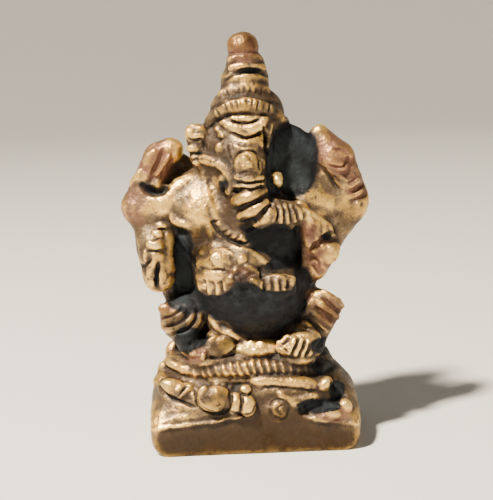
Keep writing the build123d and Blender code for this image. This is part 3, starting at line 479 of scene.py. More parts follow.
# Fine lines drawn in the front. Half width, height raised or depth cut, then places across and up
LINES = (
    # crown: the shadow gaps under its tiers
    (0.20, -0.26, ((-3.0, 27.0), (-2.4, 27.5), (-1.8, 27.86), (-0.9, 28.08), (0.2, 28.15), (2.0, 27.9))),
    (0.17, -0.16, ((-2.5, 28.7), (-1.9, 29.0), (-1.0, 29.45), (0.0, 29.64), (1.0, 29.56), (2.9, 28.8))),
    (0.32, -0.32, ((-0.6, 31.5), (-0.1, 31.62), (0.4, 31.68), (1.0, 31.63), (1.6, 31.5))),
    (0.20, -0.20, ((-1.5, 30.9), (-1.1, 31.2), (-0.6, 31.5))),
    (0.22, -0.22, ((1.4, 31.6), (2.0, 31.3), (2.2, 31.1))),
    (0.14, -0.12, ((-1.0, 32.3), (-0.2, 32.45), (0.6, 32.46), (1.7, 32.3))),
    (0.18, -0.10, ((-1.0, 33.2), (0.2, 33.12), (1.3, 33.15))),
    # edge of the flat front
    (0.26, 0.20, ((-8.5, 2.4), (-6.0, 2.65), (-4.0, 2.75), (-2.5, 3.0), (-1.0, 3.2))),
    (0.25, 0.10, ((4.0, 2.9), (6.5, 2.35), (8.5, 2.15))),
    (0.45, -0.08, ((-8.0, 3.3), (-6.0, 3.6), (-4.4, 3.5))),
    # mound
    (0.17, -0.24, ((-6.4, 4.98), (-6.1, 5.3), (-5.55, 5.85))),
    (0.22, -0.22, ((-7.8, 5.9), (-7.45, 5.35), (-6.7, 4.85), (-6.0, 4.55), (-5.3, 4.25), (-4.95, 4.1))),
    (0.12, -0.12, ((-4.3, 5.0), (-3.95, 4.55))),
    (0.12, -0.12, ((-4.0, 5.0), (-3.65, 4.6))),
    (0.12, -0.10, ((-4.45, 4.75), (-4.2, 4.35))),
    (0.20, -0.26, ((-4.9, 5.5), (-4.8, 4.5), (-4.25, 3.85), (-3.2, 3.5))),
    (0.20, -0.26, ((-3.2, 3.5), (-2.4, 3.6), (-2.0, 4.3), (-2.05, 5.1))),
    (0.17, -0.22, ((-1.15, 4.9), (-1.1, 4.3), (-1.25, 3.6))),
    (0.16, -0.18, ((-2.2, 3.6), (-1.4, 3.38), (-0.7, 3.2), (-0.1, 3.5), (0.15, 4.2))),
    (0.14, -0.14, ((-1.2, 5.2), (-0.9, 4.92), (-0.5, 4.9), (-0.25, 5.15))),
    (0.16, -0.10, ((1.25, 3.9), (1.6, 4.35), (2.3, 4.4), (2.85, 3.8))),
    (0.16, -0.14, ((2.85, 3.8), (2.6, 3.0), (1.9, 2.8), (1.35, 3.1), (1.2, 3.6))),
    (0.13, -0.12, ((2.35, 4.0), (1.95, 3.85), (1.8, 3.5), (2.1, 3.2))),
    (0.16, -0.10, ((0.6, 5.5), (2.2, 5.4), (3.8, 5.2), (5.0, 5.0))),
    (0.85, -0.34, ((3.9, 3.6), (5.2, 3.8), (6.4, 4.3), (7.3, 5.0))),
    (0.40, -0.20, ((6.35, 6.1), (6.55, 5.4), (6.5, 4.6))),
    # feet
    (0.18, -0.24, ((-3.7, 8.15), (-2.7, 8.05), (-1.8, 8.4), (-1.25, 9.0))),
    (0.13, -0.16, ((-4.45, 8.75), (-4.4, 8.4), (-4.5, 8.1))),
    (0.13, -0.16, ((-3.8, 8.7), (-3.75, 8.3), (-3.9, 8.0))),
    (0.14, -0.14, ((-1.25, 9.2), (-1.7, 9.65), (-2.3, 10.0))),
    (0.13, -0.20, ((3.15, 8.1), (3.5, 8.75), (3.8, 9.45))),
    (0.13, -0.20, ((3.75, 8.0), (4.1, 8.55), (4.35, 9.2))),
    (0.13, -0.18, ((4.3, 7.95), (4.6, 8.4), (4.8, 8.95))),
    (0.13, -0.18, ((2.5, 8.95), (2.85, 9.15), (3.05, 9.4))),
    (0.13, -0.16, ((2.2, 8.85), (2.7, 8.55), (2.85, 8.2))),
    # folds of the legs
    (0.19, -0.24, ((-7.5, 11.5), (-6.7, 11.65), (-6.0, 12.0), (-5.6, 12.35))),
    (0.19, -0.24, ((-7.2, 10.85), (-6.4, 10.95), (-5.7, 11.3), (-5.2, 11.85))),
    (0.18, -0.22, ((-6.5, 10.25), (-5.6, 10.45), (-4.95, 10.9), (-4.5, 11.6))),
    (0.20, -0.24, ((5.95, 12.65), (6.6, 12.1), (7.35, 11.35))),
    (0.20, -0.24, ((5.35, 11.95), (6.1, 11.3), (6.85, 10.6))),
    (0.30, -0.24, ((4.5, 11.15), (5.2, 10.5), (5.9, 9.95))),
    (0.14, -0.12, ((4.1, 11.7), (4.6, 12.4), (5.3, 13.3))),
    # belt
    (0.20, -0.20, ((-3.95, 15.5), (-3.1, 15.35), (-1.9, 15.25))),
    (0.12, -0.20, ((-0.42, 16.2), (-0.40, 16.05))),
    (0.17, -0.20, ((0.75, 15.4), (1.0, 15.0), (0.95, 14.5))),
    (0.14, -0.12, ((-1.55, 16.6), (-1.4, 15.9), (-1.5, 15.3))),
    (0.14, -0.16, ((-3.72, 14.5), (-3.65, 13.6))),
    (0.13, -0.12, ((-3.0, 14.3), (-2.95, 13.5))),
    (0.14, -0.16, ((-2.38, 14.4), (-2.3, 13.4))),
    (0.14, -0.16, ((1.22, 14.1), (1.15, 13.5))),
    (0.12, -0.10, ((1.85, 14.2), (1.85, 13.6))),
    (0.13, -0.12, ((2.48, 14.1), (2.5, 13.5))),
    (0.15, -0.18, ((3.1, 14.3), (3.14, 13.6))),
    # thread band
    (0.18, -0.18, ((-3.0, 19.4), (-2.5, 18.6), (-1.95, 18.0), (-1.2, 17.55), (-0.5, 17.4), (0.1, 17.6))),
    # face, trunk, cuff and ear ornament
    (0.17, -0.26, ((-0.95, 27.6), (-0.4, 27.42), (0.1, 27.36), (0.7, 27.42), (1.2, 27.6))),
    (0.19, -0.28, ((-1.1, 26.6), (-0.3, 26.32), (0.3, 26.18), (1.0, 26.32), (1.55, 26.7))),
    (0.15, -0.28, ((1.66, 27.1), (1.68, 26.0), (1.74, 24.9))),
    (0.17, -0.22, ((-2.35, 26.2), (-2.1, 26.05), (-1.8, 26.15))),
    (0.14, -0.14, ((-1.4, 25.6), (-1.3, 24.9), (-1.1, 24.2))),
    (0.15, -0.18, ((-0.98, 23.2), (-0.95, 24.1), (-0.55, 24.85), (0.1, 25.1))),
    (0.15, -0.18, ((0.1, 25.1), (0.7, 25.0), (1.08, 24.5), (1.15, 23.6))),
    (0.12, -0.10, ((-0.5, 23.2), (0.1, 23.35), (0.8, 23.2))),
    (0.15, -0.22, ((-0.1, 22.42), (0.7, 22.42), (1.5, 22.5))),
    (0.14, -0.16, ((-0.9, 22.5), (-0.3, 22.45), (0.1, 22.4))),
    (0.15, -0.22, ((-1.1, 21.75), (-0.6, 21.78), (-0.2, 21.95), (0.3, 21.86), (1.0, 22.0), (1.5, 22.1))),
    (0.30, -0.28, ((-1.1, 20.25), (-0.3, 20.4), (0.5, 20.75), (1.2, 21.05), (1.6, 21.3))),
    (0.26, -0.32, ((-0.3, 19.2), (0.5, 19.45), (1.2, 19.85), (1.75, 20.35))),
    (0.13, -0.18, ((2.4, 20.4), (2.48, 19.9), (2.42, 19.2))),
    (0.13, -0.18, ((2.9, 20.4), (3.05, 19.9), (3.02, 19.1))),
    (0.13, -0.18, ((3.4, 20.4), (3.6, 19.8), (3.58, 19.1))),
    (0.13, -0.18, ((3.85, 20.3), (4.1, 19.8), (4.15, 19.25))),
    (0.15, -0.18, ((1.8, 21.4), (2.6, 21.3), (3.5, 21.0), (4.4, 20.6))),
    (0.26, -0.30, ((-3.38, 25.9), (-3.3, 25.3))),
    (0.15, -0.16, ((-4.7, 26.25), (-4.1, 26.1), (-3.5, 26.25))),
    (0.13, -0.14, ((-4.6, 25.05), (-4.0, 25.0), (-3.5, 25.05))),
    (0.12, -0.12, ((-4.5, 24.5), (-3.9, 24.52), (-3.4, 24.55))),
    # raised arms, shoulders and hands
    (0.24, -0.28, ((-6.75, 25.5), (-7.0, 24.8), (-7.35, 24.2), (-7.75, 23.5))),
    (0.28, -0.26, ((-6.0, 24.5), (-6.5, 23.9), (-6.95, 23.2))),
    (0.50, -0.50, ((-8.6, 22.6), (-8.1, 22.1), (-7.3, 21.95), (-6.6, 22.2))),
    (0.16, -0.16, ((-8.4, 24.4), (-8.7, 24.1), (-8.9, 24.2))),
    (0.45, -0.35, ((-6.1, 18.9), (-5.6, 18.55), (-4.9, 18.35))),
    (0.16, -0.22, ((-8.85, 15.8), (-8.5, 16.0), (-8.15, 16.4))),
    (0.19, -0.32, ((-7.45, 16.1), (-7.6, 15.4), (-7.75, 14.7), (-7.75, 14.3))),
    (0.12, -0.16, ((-8.2, 18.1), (-7.8, 18.05), (-7.2, 18.15))),
    (0.12, -0.16, ((-7.9, 18.9), (-7.4, 18.87), (-6.9, 18.95))),
    (0.14, -0.18, ((-8.4, 17.15), (-7.8, 17.05), (-7.2, 17.1))),
    (0.16, -0.22, ((7.3, 24.95), (8.0, 24.85), (8.6, 24.6))),
    (0.17, -0.24, ((6.9, 23.6), (7.6, 23.42), (8.2, 23.5), (8.6, 24.3))),
    (0.14, -0.10, ((8.1, 22.9), (8.4, 22.5), (9.1, 22.6))),
    (0.14, -0.12, ((8.35, 22.05), (8.8, 22.2), (9.3, 22.6))),
    (0.14, -0.12, ((8.7, 21.3), (9.2, 21.5), (9.6, 21.9))),
    (0.17, -0.24, ((5.1, 16.65), (5.6, 17.3), (6.2, 17.5), (6.8, 18.0))),
    (0.34, -0.24, ((6.0, 17.55), (6.5, 17.75), (6.8, 17.95))),
    (0.20, -0.24, ((6.1, 23.7), (6.65, 23.0), (7.1, 22.2), (7.5, 21.6))),
    (0.14, -0.14, ((5.1, 16.2), (5.6, 15.9), (5.85, 15.3))),
    (0.13, -0.12, ((5.15, 15.6), (5.6, 14.9))),
)

# Notches across a line: its places, pitch, half length, half width, depth, lean in degrees
NOTCHES = (
    # crown's band and bulb
    (((-2.35, 28.15), (-1.4, 28.72), (-0.5, 28.98), (0.4, 29.0), (2.5, 28.4)), 0.42, 0.40, 0.13, 0.16, 0),
    (((-1.6, 29.65), (-0.7, 30.0), (0.2, 30.1), (1.1, 30.0), (2.0, 29.75)), 0.40, 0.32, 0.12, 0.12, 0),
    # thread band, beside the trunk and under it
    (((-3.0, 23.4), (-2.98, 22.2), (-2.85, 20.9)), 0.45, 0.16, 0.12, 0.08, 0),
    (((-3.0, 19.75), (-2.4, 18.85), (-1.6, 18.1), (-0.5, 17.7)), 0.52, 0.34, 0.15, 0.22, -25),
)

# Dark tarnish on the bronze, and painted shade and painted shadow in gaps, under forms and on sides turned
# from the light, by place: across, up, half width, half height, strength
TARNISH_AND_SHADE = (
    # mound: painted shade under its relief on the right, under the rope and along its shaded right end, and
    # the flat front darker towards the bottom on the left
    (5.3, 3.8, 1.9, 0.60, 1.0),
    (-6.3, 1.2, 2.4, 1.0, 0.33),
    (6.9, 5.0, 0.7, 0.8, 1.0),
    (5.9, 7.0, 1.2, 0.6, 0.8),
    (4.8, 6.6, 2.2, 0.35, 0.5),
    # feet and legs: tarnish on the lower belly and darker knees, with painted shadow on the left calf and
    # thigh, in the gap above the left knee and beside the right foot
    (5.7, 8.7, 0.8, 0.8, 0.9),
    (-5.5, 9.6, 0.9, 1.0, 1.15),
    (-4.9, 9.7, 1.3, 0.9, 1.0),
    (0.6, 12.0, 4.1, 2.2, 1.0),
    (-3.2, 12.8, 1.1, 0.8, 0.9),
    (-4.6, 11.3, 0.7, 0.9, 0.45),
    (-6.1, 11.2, 1.3, 1.0, 0.58),
    (6.6, 11.4, 0.8, 1.0, 0.35),
    (-5.0, 13.0, 1.5, 1.3, 1.0),
    (-6.0, 12.9, 0.9, 0.6, 1.0),
    # belly, belt and lower arms: painted shadow of the trunk on the chest, painted shade in the deep gap
    # beside the left hand, between its fingers and in the right cuff, and darker beads on the belt and darker
    # skin on the belly's right side
    (2.3, 17.0, 2.1, 2.0, 1.0),
    (0.9, 18.1, 1.2, 0.7, 0.8),
    (-0.8, 14.5, 0.8, 0.7, 0.55),
    (4.2, 14.2, 0.9, 1.2, 1.0),
    (-5.5, 15.6, 0.75, 3.2, 1.35),
    (-5.35, 17.6, 0.70, 1.3, 1.0),
    (-6.5, 16.8, 0.4, 2.2, 0.42),
    (-7.7, 15.0, 0.2, 0.8, 1.0),
    (6.5, 17.8, 0.4, 0.3, 0.9),
    # raised arms: painted shadow in the crook of the left arm and under the raised left hand
    (-8.3, 22.5, 0.7, 0.5, 0.6),
    (-7.6, 22.2, 0.9, 0.5, 0.7),
    (-5.7, 23.8, 1.1, 1.1, 0.35),
    # trunk, tusks and ear: painted shade under the trunk's fold and the tusk, the dark bead's own colour, and
    # the right ear's dark patina with the painted shadow that the face casts on it
    (0.1, 19.4, 0.9, 0.25, 0.7),
    (2.4, 21.9, 0.5, 1.0, 0.6),
    (2.1, 23.0, 0.45, 2.2, 1.1),
    (-1.85, 22.4, 0.5, 0.75, 0.75),
    (4.0, 24.3, 1.9, 2.9, 1.3),
    # crown: painted shade under its upper tiers and on the right end of its band
    (0.8, 31.65, 0.9, 0.26, 0.7),
    (2.6, 28.6, 0.8, 0.7, 0.45),
)
# Places that the tarnish and the painted shade spare, one of them a painted highlight: across, up, half
# width, half height, strength
SPARED = (
    # feet and legs
    (-7.3, 8.6, 0.8, 0.9, 1.0),
    (-2.6, 10.3, 1.0, 0.7, 1.0),
    (-1.4, 9.6, 1.0, 0.4, 1.0),
    (3.9, 10.2, 0.8, 0.5, 0.8),
    # belly and belt
    (-3.1, 14.3, 1.35, 0.95, 1.0),
    (2.1, 14.2, 1.5, 0.75, 1.0),
    (0.8, 16.1, 0.9, 0.5, 1.0),
    # raised arms: the lit ledge in the crook, left out of the painted shade
    (-6.85, 22.42, 0.5, 0.2, 1.0),
    # tusks: the tusk, and a painted highlight on the dark bead
    (2.6, 22.7, 0.5, 0.55, 1.0),
    (-1.9, 23.15, 0.30, 0.34, 1.0),
)
# Dull brown skin, and painted shade on undersides and on sides turned from the light: across, up, half width,
# half height, strength
DULL_AND_SHADE = (
    # mound: dull brown front and relief, with painted shade on the beast's lower half
    (0.0, 0.7, 9.6, 1.6, 1.2),
    (1.4, 2.6, 3.0, 0.9, 1.0),
    (2.0, 3.6, 1.0, 0.9, 0.7),
    (-3.0, 4.6, 1.4, 0.9, 0.65),
    (2.6, 5.0, 2.0, 0.4, 0.5),
    (3.0, 6.3, 3.0, 0.3, 0.4),
    (-7.2, 6.6, 1.3, 1.0, 0.45),
    # feet and legs
    (-2.4, 9.0, 1.1, 0.85, 0.85),
    (-5.9, 11.2, 1.5, 1.0, 0.8),
    (-6.6, 12.2, 1.2, 0.9, 0.9),
    (6.3, 11.3, 1.0, 1.0, 1.0),
    # belly, belt and lower arms, with painted shade on the chest below the left shoulder
    (-0.7, 14.5, 1.2, 1.0, 1.1),
    (-3.2, 15.9, 0.9, 0.4, 0.5),
    (-4.0, 17.9, 1.1, 1.2, 1.2),
    (-6.55, 17.0, 0.4, 2.2, 0.5),
    (-6.7, 16.6, 0.7, 1.9, 0.5),
    # raised arms
    (8.6, 19.4, 1.0, 0.9, 0.5),
    (-8.9, 19.6, 0.9, 1.0, 0.4),
    (7.6, 24.6, 1.5, 2.0, 0.35),
    (-7.3, 24.6, 1.0, 1.6, 0.6),
    # trunk and face: painted shade on the plane beside the trunk, under its upper fold and round its root,
    # and dull brown with painted shade on the left cheek
    (-1.55, 20.2, 0.6, 1.4, 1.0),
    (0.2, 21.0, 1.5, 0.9, 0.45),
    (0.2, 23.4, 1.1, 0.6, 0.5),
    (0.3, 23.8, 1.1, 1.2, 0.4),
    (-2.5, 25.6, 0.9, 1.3, 0.6),
    # crown and its ball: painted shade under the band and on the right sides of the crown and the ball, and
    # the ball's dull brown
    (1.0, 28.3, 1.6, 0.3, 0.5),
    (0.3, 28.7, 2.4, 0.6, 0.55),
    (2.8, 29.0, 0.7, 1.6, 0.7),
    (1.7, 30.6, 0.9, 1.6, 0.4),
    (0.2, 33.8, 1.6, 1.3, 0.95),
    (0.9, 34.0, 0.45, 0.8, 1.3),
    (-0.2, 33.4, 0.8, 0.22, 1.3),
)
# Warm copper showing where the bronze is rubbed: across, up, half width, half height, strength
RUBBED = (
    # mound, feet and legs
    (6.6, 3.1, 1.3, 0.7, 0.7),
    (-4.7, 8.4, 0.8, 0.6, 0.7),
    (-6.9, 11.6, 1.0, 1.3, 0.5),
    (6.6, 11.6, 1.1, 1.4, 0.4),
    (5.0, 12.6, 0.5, 0.9, 0.5),
    # belt and lower arms
    (-0.9, 14.6, 1.0, 0.9, 0.25),
    (6.0, 16.0, 1.3, 1.6, 0.7),
    (5.1, 18.2, 0.7, 1.2, 0.7),
    # raised arms
    (-9.4, 21.0, 1.2, 1.6, 0.5),
    (9.2, 21.8, 0.8, 1.2, 0.7),
    (-7.6, 25.0, 1.7, 1.9, 0.8),
    (7.8, 25.0, 1.7, 2.1, 0.8),
    # crown's ball
    (0.2, 33.8, 1.6, 1.3, 0.55),
)
# Bright worn bronze, and painted highlights and painted light where the light falls: across, up, half width,
# half height, strength
WEAR_AND_HIGHLIGHTS = (
    # mound: worn high places, and painted light on the ledge under the rope
    (-6.8, 2.5, 1.8, 0.3, 0.8),
    (6.9, 3.2, 1.4, 0.9, 0.6),
    (-6.4, 3.6, 2.4, 0.9, 0.4),
    (-5.6, 3.6, 1.6, 0.6, 0.8),
    (-7.8, 4.3, 0.8, 1.8, 0.6),
    (-4.9, 5.9, 0.6, 1.0, 1.0),
    (1.2, 4.9, 2.6, 1.1, 0.6),
    (3.0, 5.9, 2.6, 0.4, 0.8),
    (-3.0, 6.3, 3.4, 0.4, 1.2),
    (-6.9, 7.4, 1.4, 1.8, 0.8),
    # feet and legs: painted light on the floor between the feet and painted highlights on the knee folds
    (0.2, 8.8, 2.0, 0.9, 1.3),
    (3.6, 8.9, 1.7, 0.9, 0.7),
    (-1.8, 9.9, 1.3, 0.5, 0.9),
    (-3.0, 10.9, 0.5, 0.8, 0.9),
    (-6.3, 11.3, 1.2, 1.0, 0.9),
    (5.6, 12.7, 0.8, 0.7, 0.8),
    # belly, belt and lower arms
    (-3.0, 14.6, 1.5, 1.0, 1.0),
    (-2.4, 16.2, 2.0, 1.2, 0.7),
    (0.9, 16.0, 0.9, 0.5, 0.9),
    (-6.8, 17.6, 1.4, 2.0, 0.6),
    (-7.5, 18.3, 0.9, 1.2, 1.0),
    (6.7, 16.6, 0.7, 0.6, 0.8),
    # chest and shoulders: painted highlights on the left shoulder and the right cuff's upper edge
    (-5.4, 20.4, 1.8, 1.2, 0.9),
    (-4.3, 21.6, 2.4, 3.0, 0.8),
    (4.8, 19.8, 0.6, 0.5, 1.0),
    (5.2, 19.7, 0.7, 0.5, 1.0),
    (5.7, 19.4, 1.1, 0.6, 1.6),
    (5.4, 20.9, 1.5, 0.6, 0.8),
    # raised arms: painted highlights along the raised hands' edges and on the lit faces of the arms
    (-7.4, 20.8, 1.5, 1.0, 1.2),
    (-8.9, 23.4, 0.6, 0.6, 0.9),
    (-8.0, 24.8, 0.4, 0.6, 0.9),
    (7.2, 20.4, 2.2, 1.6, 0.7),
    (7.3, 20.5, 1.5, 0.9, 1.2),
    (7.2, 20.9, 1.1, 0.6, 1.0),
    (6.4, 22.2, 0.6, 1.0, 1.0),
    (6.4, 22.3, 0.5, 0.9, 1.3),
    (6.6, 26.2, 0.5, 0.8, 0.6),
    # head: painted highlights on the dark bead, the trunk's root and the tusk, and the light thread band
    (-2.7, 21.7, 0.45, 1.8, 1.8),
    (-1.9, 23.15, 0.3, 0.3, 1.3),
    (2.65, 22.6, 0.6, 0.7, 1.0),
    (0.1, 24.2, 0.5, 0.6, 1.0),
    (0.2, 26.6, 1.8, 1.2, 0.6),
    # crown
    (0.0, 29.6, 1.4, 2.2, 0.3),
)


def linear(colour):
    """Linear light values of an sRGB hex colour."""
    shares = [int(colour[i : i + 2], 16) / 255 for i in (1, 3, 5)]
    return [s / 12.92 if s <= 0.04045 else ((s + 0.055) / 1.055) ** 2.4 for s in shares] + [1.0]


class CastingSettings(bpy.types.PropertyGroup):
    """Sizes and colours of the casting."""

    grain: FloatProperty(
        name="Sculpting grain",
        description="Edge of the cells that the clay is fused from",
        default=0.0001,
        unit="LENGTH",
    )
    smoothing: IntProperty(
        name="Worn edges",
        description="How many times the fused clay is smoothed, as handling rounds a casting",
        default=3,
    )
    triangles: IntProperty(
        name="Triangles",
        description="Most triangles that the finished casting may have",
        default=190000,
    )
    unevenness: FloatProperty(
        name="Unevenness",
        description="Height of the lumps that the mould left in the skin",
        default=0.00007,
        unit="LENGTH",
    )
    bronze: FloatVectorProperty(
        name="Bronze",
        description="Worn yellow bronze on the high places",
        subtype="COLOR",
        default=linear("#ebbb62")[:3],
    )
    copper: FloatVectorProperty(
        name="Copper",
        description="Reddish bronze where the skin is rubbed through",
        subtype="COLOR",
        default=linear("#a8735c")[:3],
    )
    # The film's colour, used for the tarnish and for the painted shade alike
    tarnish_and_shade: FloatVectorProperty(
        name="Tarnish",
        description="Dull dark film in the sheltered places",
        subtype="COLOR",
        default=linear("#111317")[:3],
    )


class StageSettings(bpy.types.PropertyGroup):
    """Sizes of the stage."""

    focal_length: FloatProperty(
        name="Focal length",
        description="Focal length of the camera, in millimetres on a 36 mm sensor",
        default=92.3,
    )
    camera_roll: FloatProperty(
        name="Camera roll",
        description="How far the camera leans to the side",
        default=math.radians(-2.322),
        subtype="ANGLE",
    )
    floor_radius: FloatProperty(
        name="Floor radius",
        description="From the middle of the floor to its upturned rim",
        default=0.6,
        unit="LENGTH",
    )
    key_power: FloatProperty(
        name="Key light",
        description="Power of the soft light at the upper left",
        default=4.9,
        unit="POWER",
    )


def chart_of(points):
    """Where points are seen on the picture's plane: an array of across and up."""
    rays = points - np.array(EYE)
    depth = rays @ np.array(AHEAD)
    across = rays @ np.array(ASIDE) / depth - EDGE_ACROSS
    up = rays @ np.array(UPWARD) / depth - EDGE_UP
    return np.column_stack([across, up]) * SPREAD


def seat(body, across, up):
    """The spot on the body that is seen at a place of the picture's plane."""
    ray = AHEAD + ASIDE * (across / SPREAD + EDGE_ACROSS) + UPWARD * (up / SPREAD + EDGE_UP)
    spot = body.ray_cast(EYE, ray.normalized())[0]
    if spot is None:
        raise RuntimeError(f"nothing of the casting is seen at {across}, {up}")
    return spot


def outward(degrees):
    """The level direction that many degrees round from the front."""
    return Vector((math.sin(math.radians(degrees)), -math.cos(math.radians(degrees)), 0))


def seat_behind(body, degrees, height):
    """The spot on the body at a height, that many degrees round from the front."""
    out = outward(degrees)
    spot = body.ray_cast(out * EYE_DISTANCE + Vector((0, 0, height)), -out)[0]
    if spot is None:
        raise RuntimeError(f"nothing of the casting stands at {degrees} degrees")
    return spot


def smooth_line(places, step):
    """Places along a smooth curve through the given ones, about a step apart."""
    places = [Vector(place) for place in places]
    ends = [places[0]] + places + [places[-1]]
    line = [places[0]]
    for before, start, stop, after in zip(ends, ends[1:], ends[2:], ends[3:]):
        count = max(1, round((stop - start).length / step))
        for i in range(count):
            t = (i + 1) / count
            line.append(
                (
                    2 * start
                    + (stop - before) * t
                    + (2 * before - 5 * start + 4 * stop - after) * t**2
                    + (3 * start - before - 3 * stop + after) * t**3
                )
                / 2
            )
    return line


def stick(clay, form):
    """Sticks a form to the clay and frees it."""
    mesh = bpy.data.meshes.new("form")
    form.to_mesh(mesh)
    form.free()
    clay.from_mesh(mesh)
    bpy.data.meshes.remove(mesh)


def add_lump(clay, centre, half_sizes, turn=0.0, axes=VIEW, smoothness=3):
    """Adds an egg with its half sizes along the axes, turned in the plane of the picture."""
    placed = Matrix.Translation(centre) @ (axes @ Matrix.Rotation(turn, 3, "Y")).to_4x4()
    form = bmesh.new()
    bmesh.ops.create_icosphere(
        form, subdivisions=smoothness, radius=1.0, matrix=placed @ Matrix.Diagonal((*half_sizes, 1))
    )
    stick(clay, form)


def add_bar(clay, points, radii):
    """Adds a chain of tapered round bars through the points."""
    form = bmesh.new()
    for start, stop, first, last in zip(points, points[1:], radii, radii[1:]):
        along = stop - start
        turned = Matrix.Translation((start + stop) / 2) @ along.to_track_quat("Z", "Y").to_matrix().to_4x4()
        bmesh.ops.create_cone(
            form,
            cap_ends=True,
            segments=BAR_SIDES,
            radius1=first,
            radius2=last,
            depth=along.length,
            matrix=turned,
        )
    for point, radius in zip(points, radii):
        bmesh.ops.create_icosphere(form, subdivisions=2, radius=radius, matrix=Matrix.Translation(point))
    stick(clay, form)


def add_bosses(clay, bosses):
    """Raises rounded forms on the clay as it stands."""
    body = BVHTree.FromBMesh(clay)
    for across, up, wide, tall, rise, turn in bosses:
        deep = max(BOSS_ROOT * rise, BOSS_FULLNESS * min(wide, tall))
        centre = seat(body, across, up) + AHEAD * (deep - rise)
        add_lump(clay, centre, (wide, deep, tall), math.radians(turn))


def even_depth(line):
    """The line with each point's depth brought half way to that of its neighbours."""
    depths = [point.dot(AHEAD) for point in line]
    before = depths[:1] + depths[:-1]
    after = depths[1:] + depths[-1:]
    return [
        point + AHEAD * (((a + b) / 2 - depth) / 2)
        for point, depth, a, b in zip(line, depths, before, after)
    ]


def add_ribs(clay):
    """Raises the long forms of the relief, evened out along their length and sunk at their ends."""
    body = BVHTree.FromBMesh(clay)
    for radius, rise, places in RIBS:
        line = smooth_line(places, FORM_STEP)
        last = len(line) - 1
        spots = [seat(body, *place) for place in line]
        for _ in range(RIB_EVENING):
            spots = even_depth(spots)
        shares = [
            min(1.0, RIB_END + (1 - RIB_END) * min(i, last - i) * FORM_STEP / radius)
            for i in range(last + 1)
        ]
        sunk = [spot + AHEAD * (radius - rise) * share for spot, share in zip(spots, shares)]
        add_bar(clay, sunk, [radius * share for share in shares])


def add_rope(clay):
    """Lays the rope round the mound, with a bulge for each strand."""
    body = BVHTree.FromBMesh(clay)
    front = smooth_line(ROPE_IN_FRONT, FORM_STEP)
    spots = [seat(body, across, up) for across, up, _, _ in front]
    for _ in range(ROPE_EVENING):
        spots = even_depth(spots)
    ring = [
        [*(spot + AHEAD * radius * ROPE_SUNK), radius, strands]
        for spot, (_, _, radius, strands) in zip(spots, front)
    ]
    for degrees, height, radius, strands in ROPE_BEHIND:
        spot = seat_behind(body, degrees, height) - outward(degrees) * radius * ROPE_SUNK_BEHIND
        ring.append([*spot, radius, strands])
    ring = smooth_line(ring + ring[:1], FORM_STEP)
    line = [Vector(place[:3]) for place in ring]
    add_bar(clay, line, [place[3] * ROPE_CORE for place in ring])
    travelled = 0.0
    for start, stop, (_, _, _, radius, strands) in zip(line, line[1:], ring):
        travelled += (stop - start).length
        if travelled < ROPE_PITCH:
            continue
        travelled -= ROPE_PITCH
        along = (stop - start).normalized()
        upright = Vector((0, 0, 1)).cross(along).cross(along).normalized()
        axes = Matrix((along, along.cross(upright), upright)).transposed()
        bulge = radius * (ROPE_CORE + STRAND_BULGE * strands)
        half_sizes = (ROPE_PITCH * STRAND_WIDTH, bulge, bulge * STRAND_HEIGHT)
        add_lump(clay, stop, half_sizes, STRAND_LEAN, axes, smoothness=2)


def add_crown(clay):
    """Turns the crown's body, ribs it at the back and sides, and sets the ball on it."""
    crown = bmesh.new()
    rim = [crown.verts.new((radius, 0, height)) for height, radius, _ in CROWN]
    edges = [crown.edges.new(pair) for pair in zip(rim, rim[1:])]
    bmesh.ops.spin(
        crown,
        geom=rim + edges,
        cent=(0, 0, 0),
        axis=(0, 0, 1),
        angle=math.tau,
        steps=CROWN_RIB_COUNT * CROWN_RIB_STEPS,
        use_merge=True,
    )
    bmesh.ops.holes_fill(crown, edges=[edge for edge in crown.edges if edge.is_boundary], sides=0)
    heights, asides = [row[0] for row in CROWN], [row[2] for row in CROWN]
    for vert in crown.verts:
        angle = math.atan2(vert.co.y, vert.co.x)
        behind = min(1.0, max(0.0, vert.co.y / vert.co.xy.length + CROWN_RIBS_REACH))
        for low, high, depth in CROWN_RIBS:
            if low < vert.co.z < high:
                vert.co.xy *= 1 + behind * depth * math.cos(CROWN_RIB_COUNT * angle) / vert.co.xy.length
        vert.co.x += CROWN_AXIS[0] + float(np.interp(vert.co.z, heights, asides))
        vert.co.y += CROWN_AXIS[1]
    bmesh.ops.recalc_face_normals(crown, faces=crown.faces[:])
    stick(clay, crown)
    x, y, z, wide, tall = CROWN_BALL
    add_lump(clay, Vector((x, y, z)), (wide, wide, tall), axes=Matrix.Identity(3), smoothness=4)


def evaluated(piece, kind, **settings):
    """The piece, with its mesh as one modifier makes it."""
    modifier = piece.modifiers.new(kind.title(), kind)
    for name, value in settings.items():
        setattr(modifier, name, value)
    graph = bpy.context.evaluated_depsgraph_get()
    mesh = bpy.data.meshes.new_from_object(piece.evaluated_get(graph))
    old = piece.data
    piece.modifiers.clear()
    piece.data = mesh
    bpy.data.meshes.remove(old)
    return piece


def piece_from(clay, name):
    """A new object of the scene from a bmesh, which is then freed."""
    mesh = bpy.data.meshes.new(name)
    clay.to_mesh(mesh)
    clay.free()
    piece = bpy.data.objects.new(name, mesh)
    bpy.context.scene.collection.objects.link(piece)
    return piece


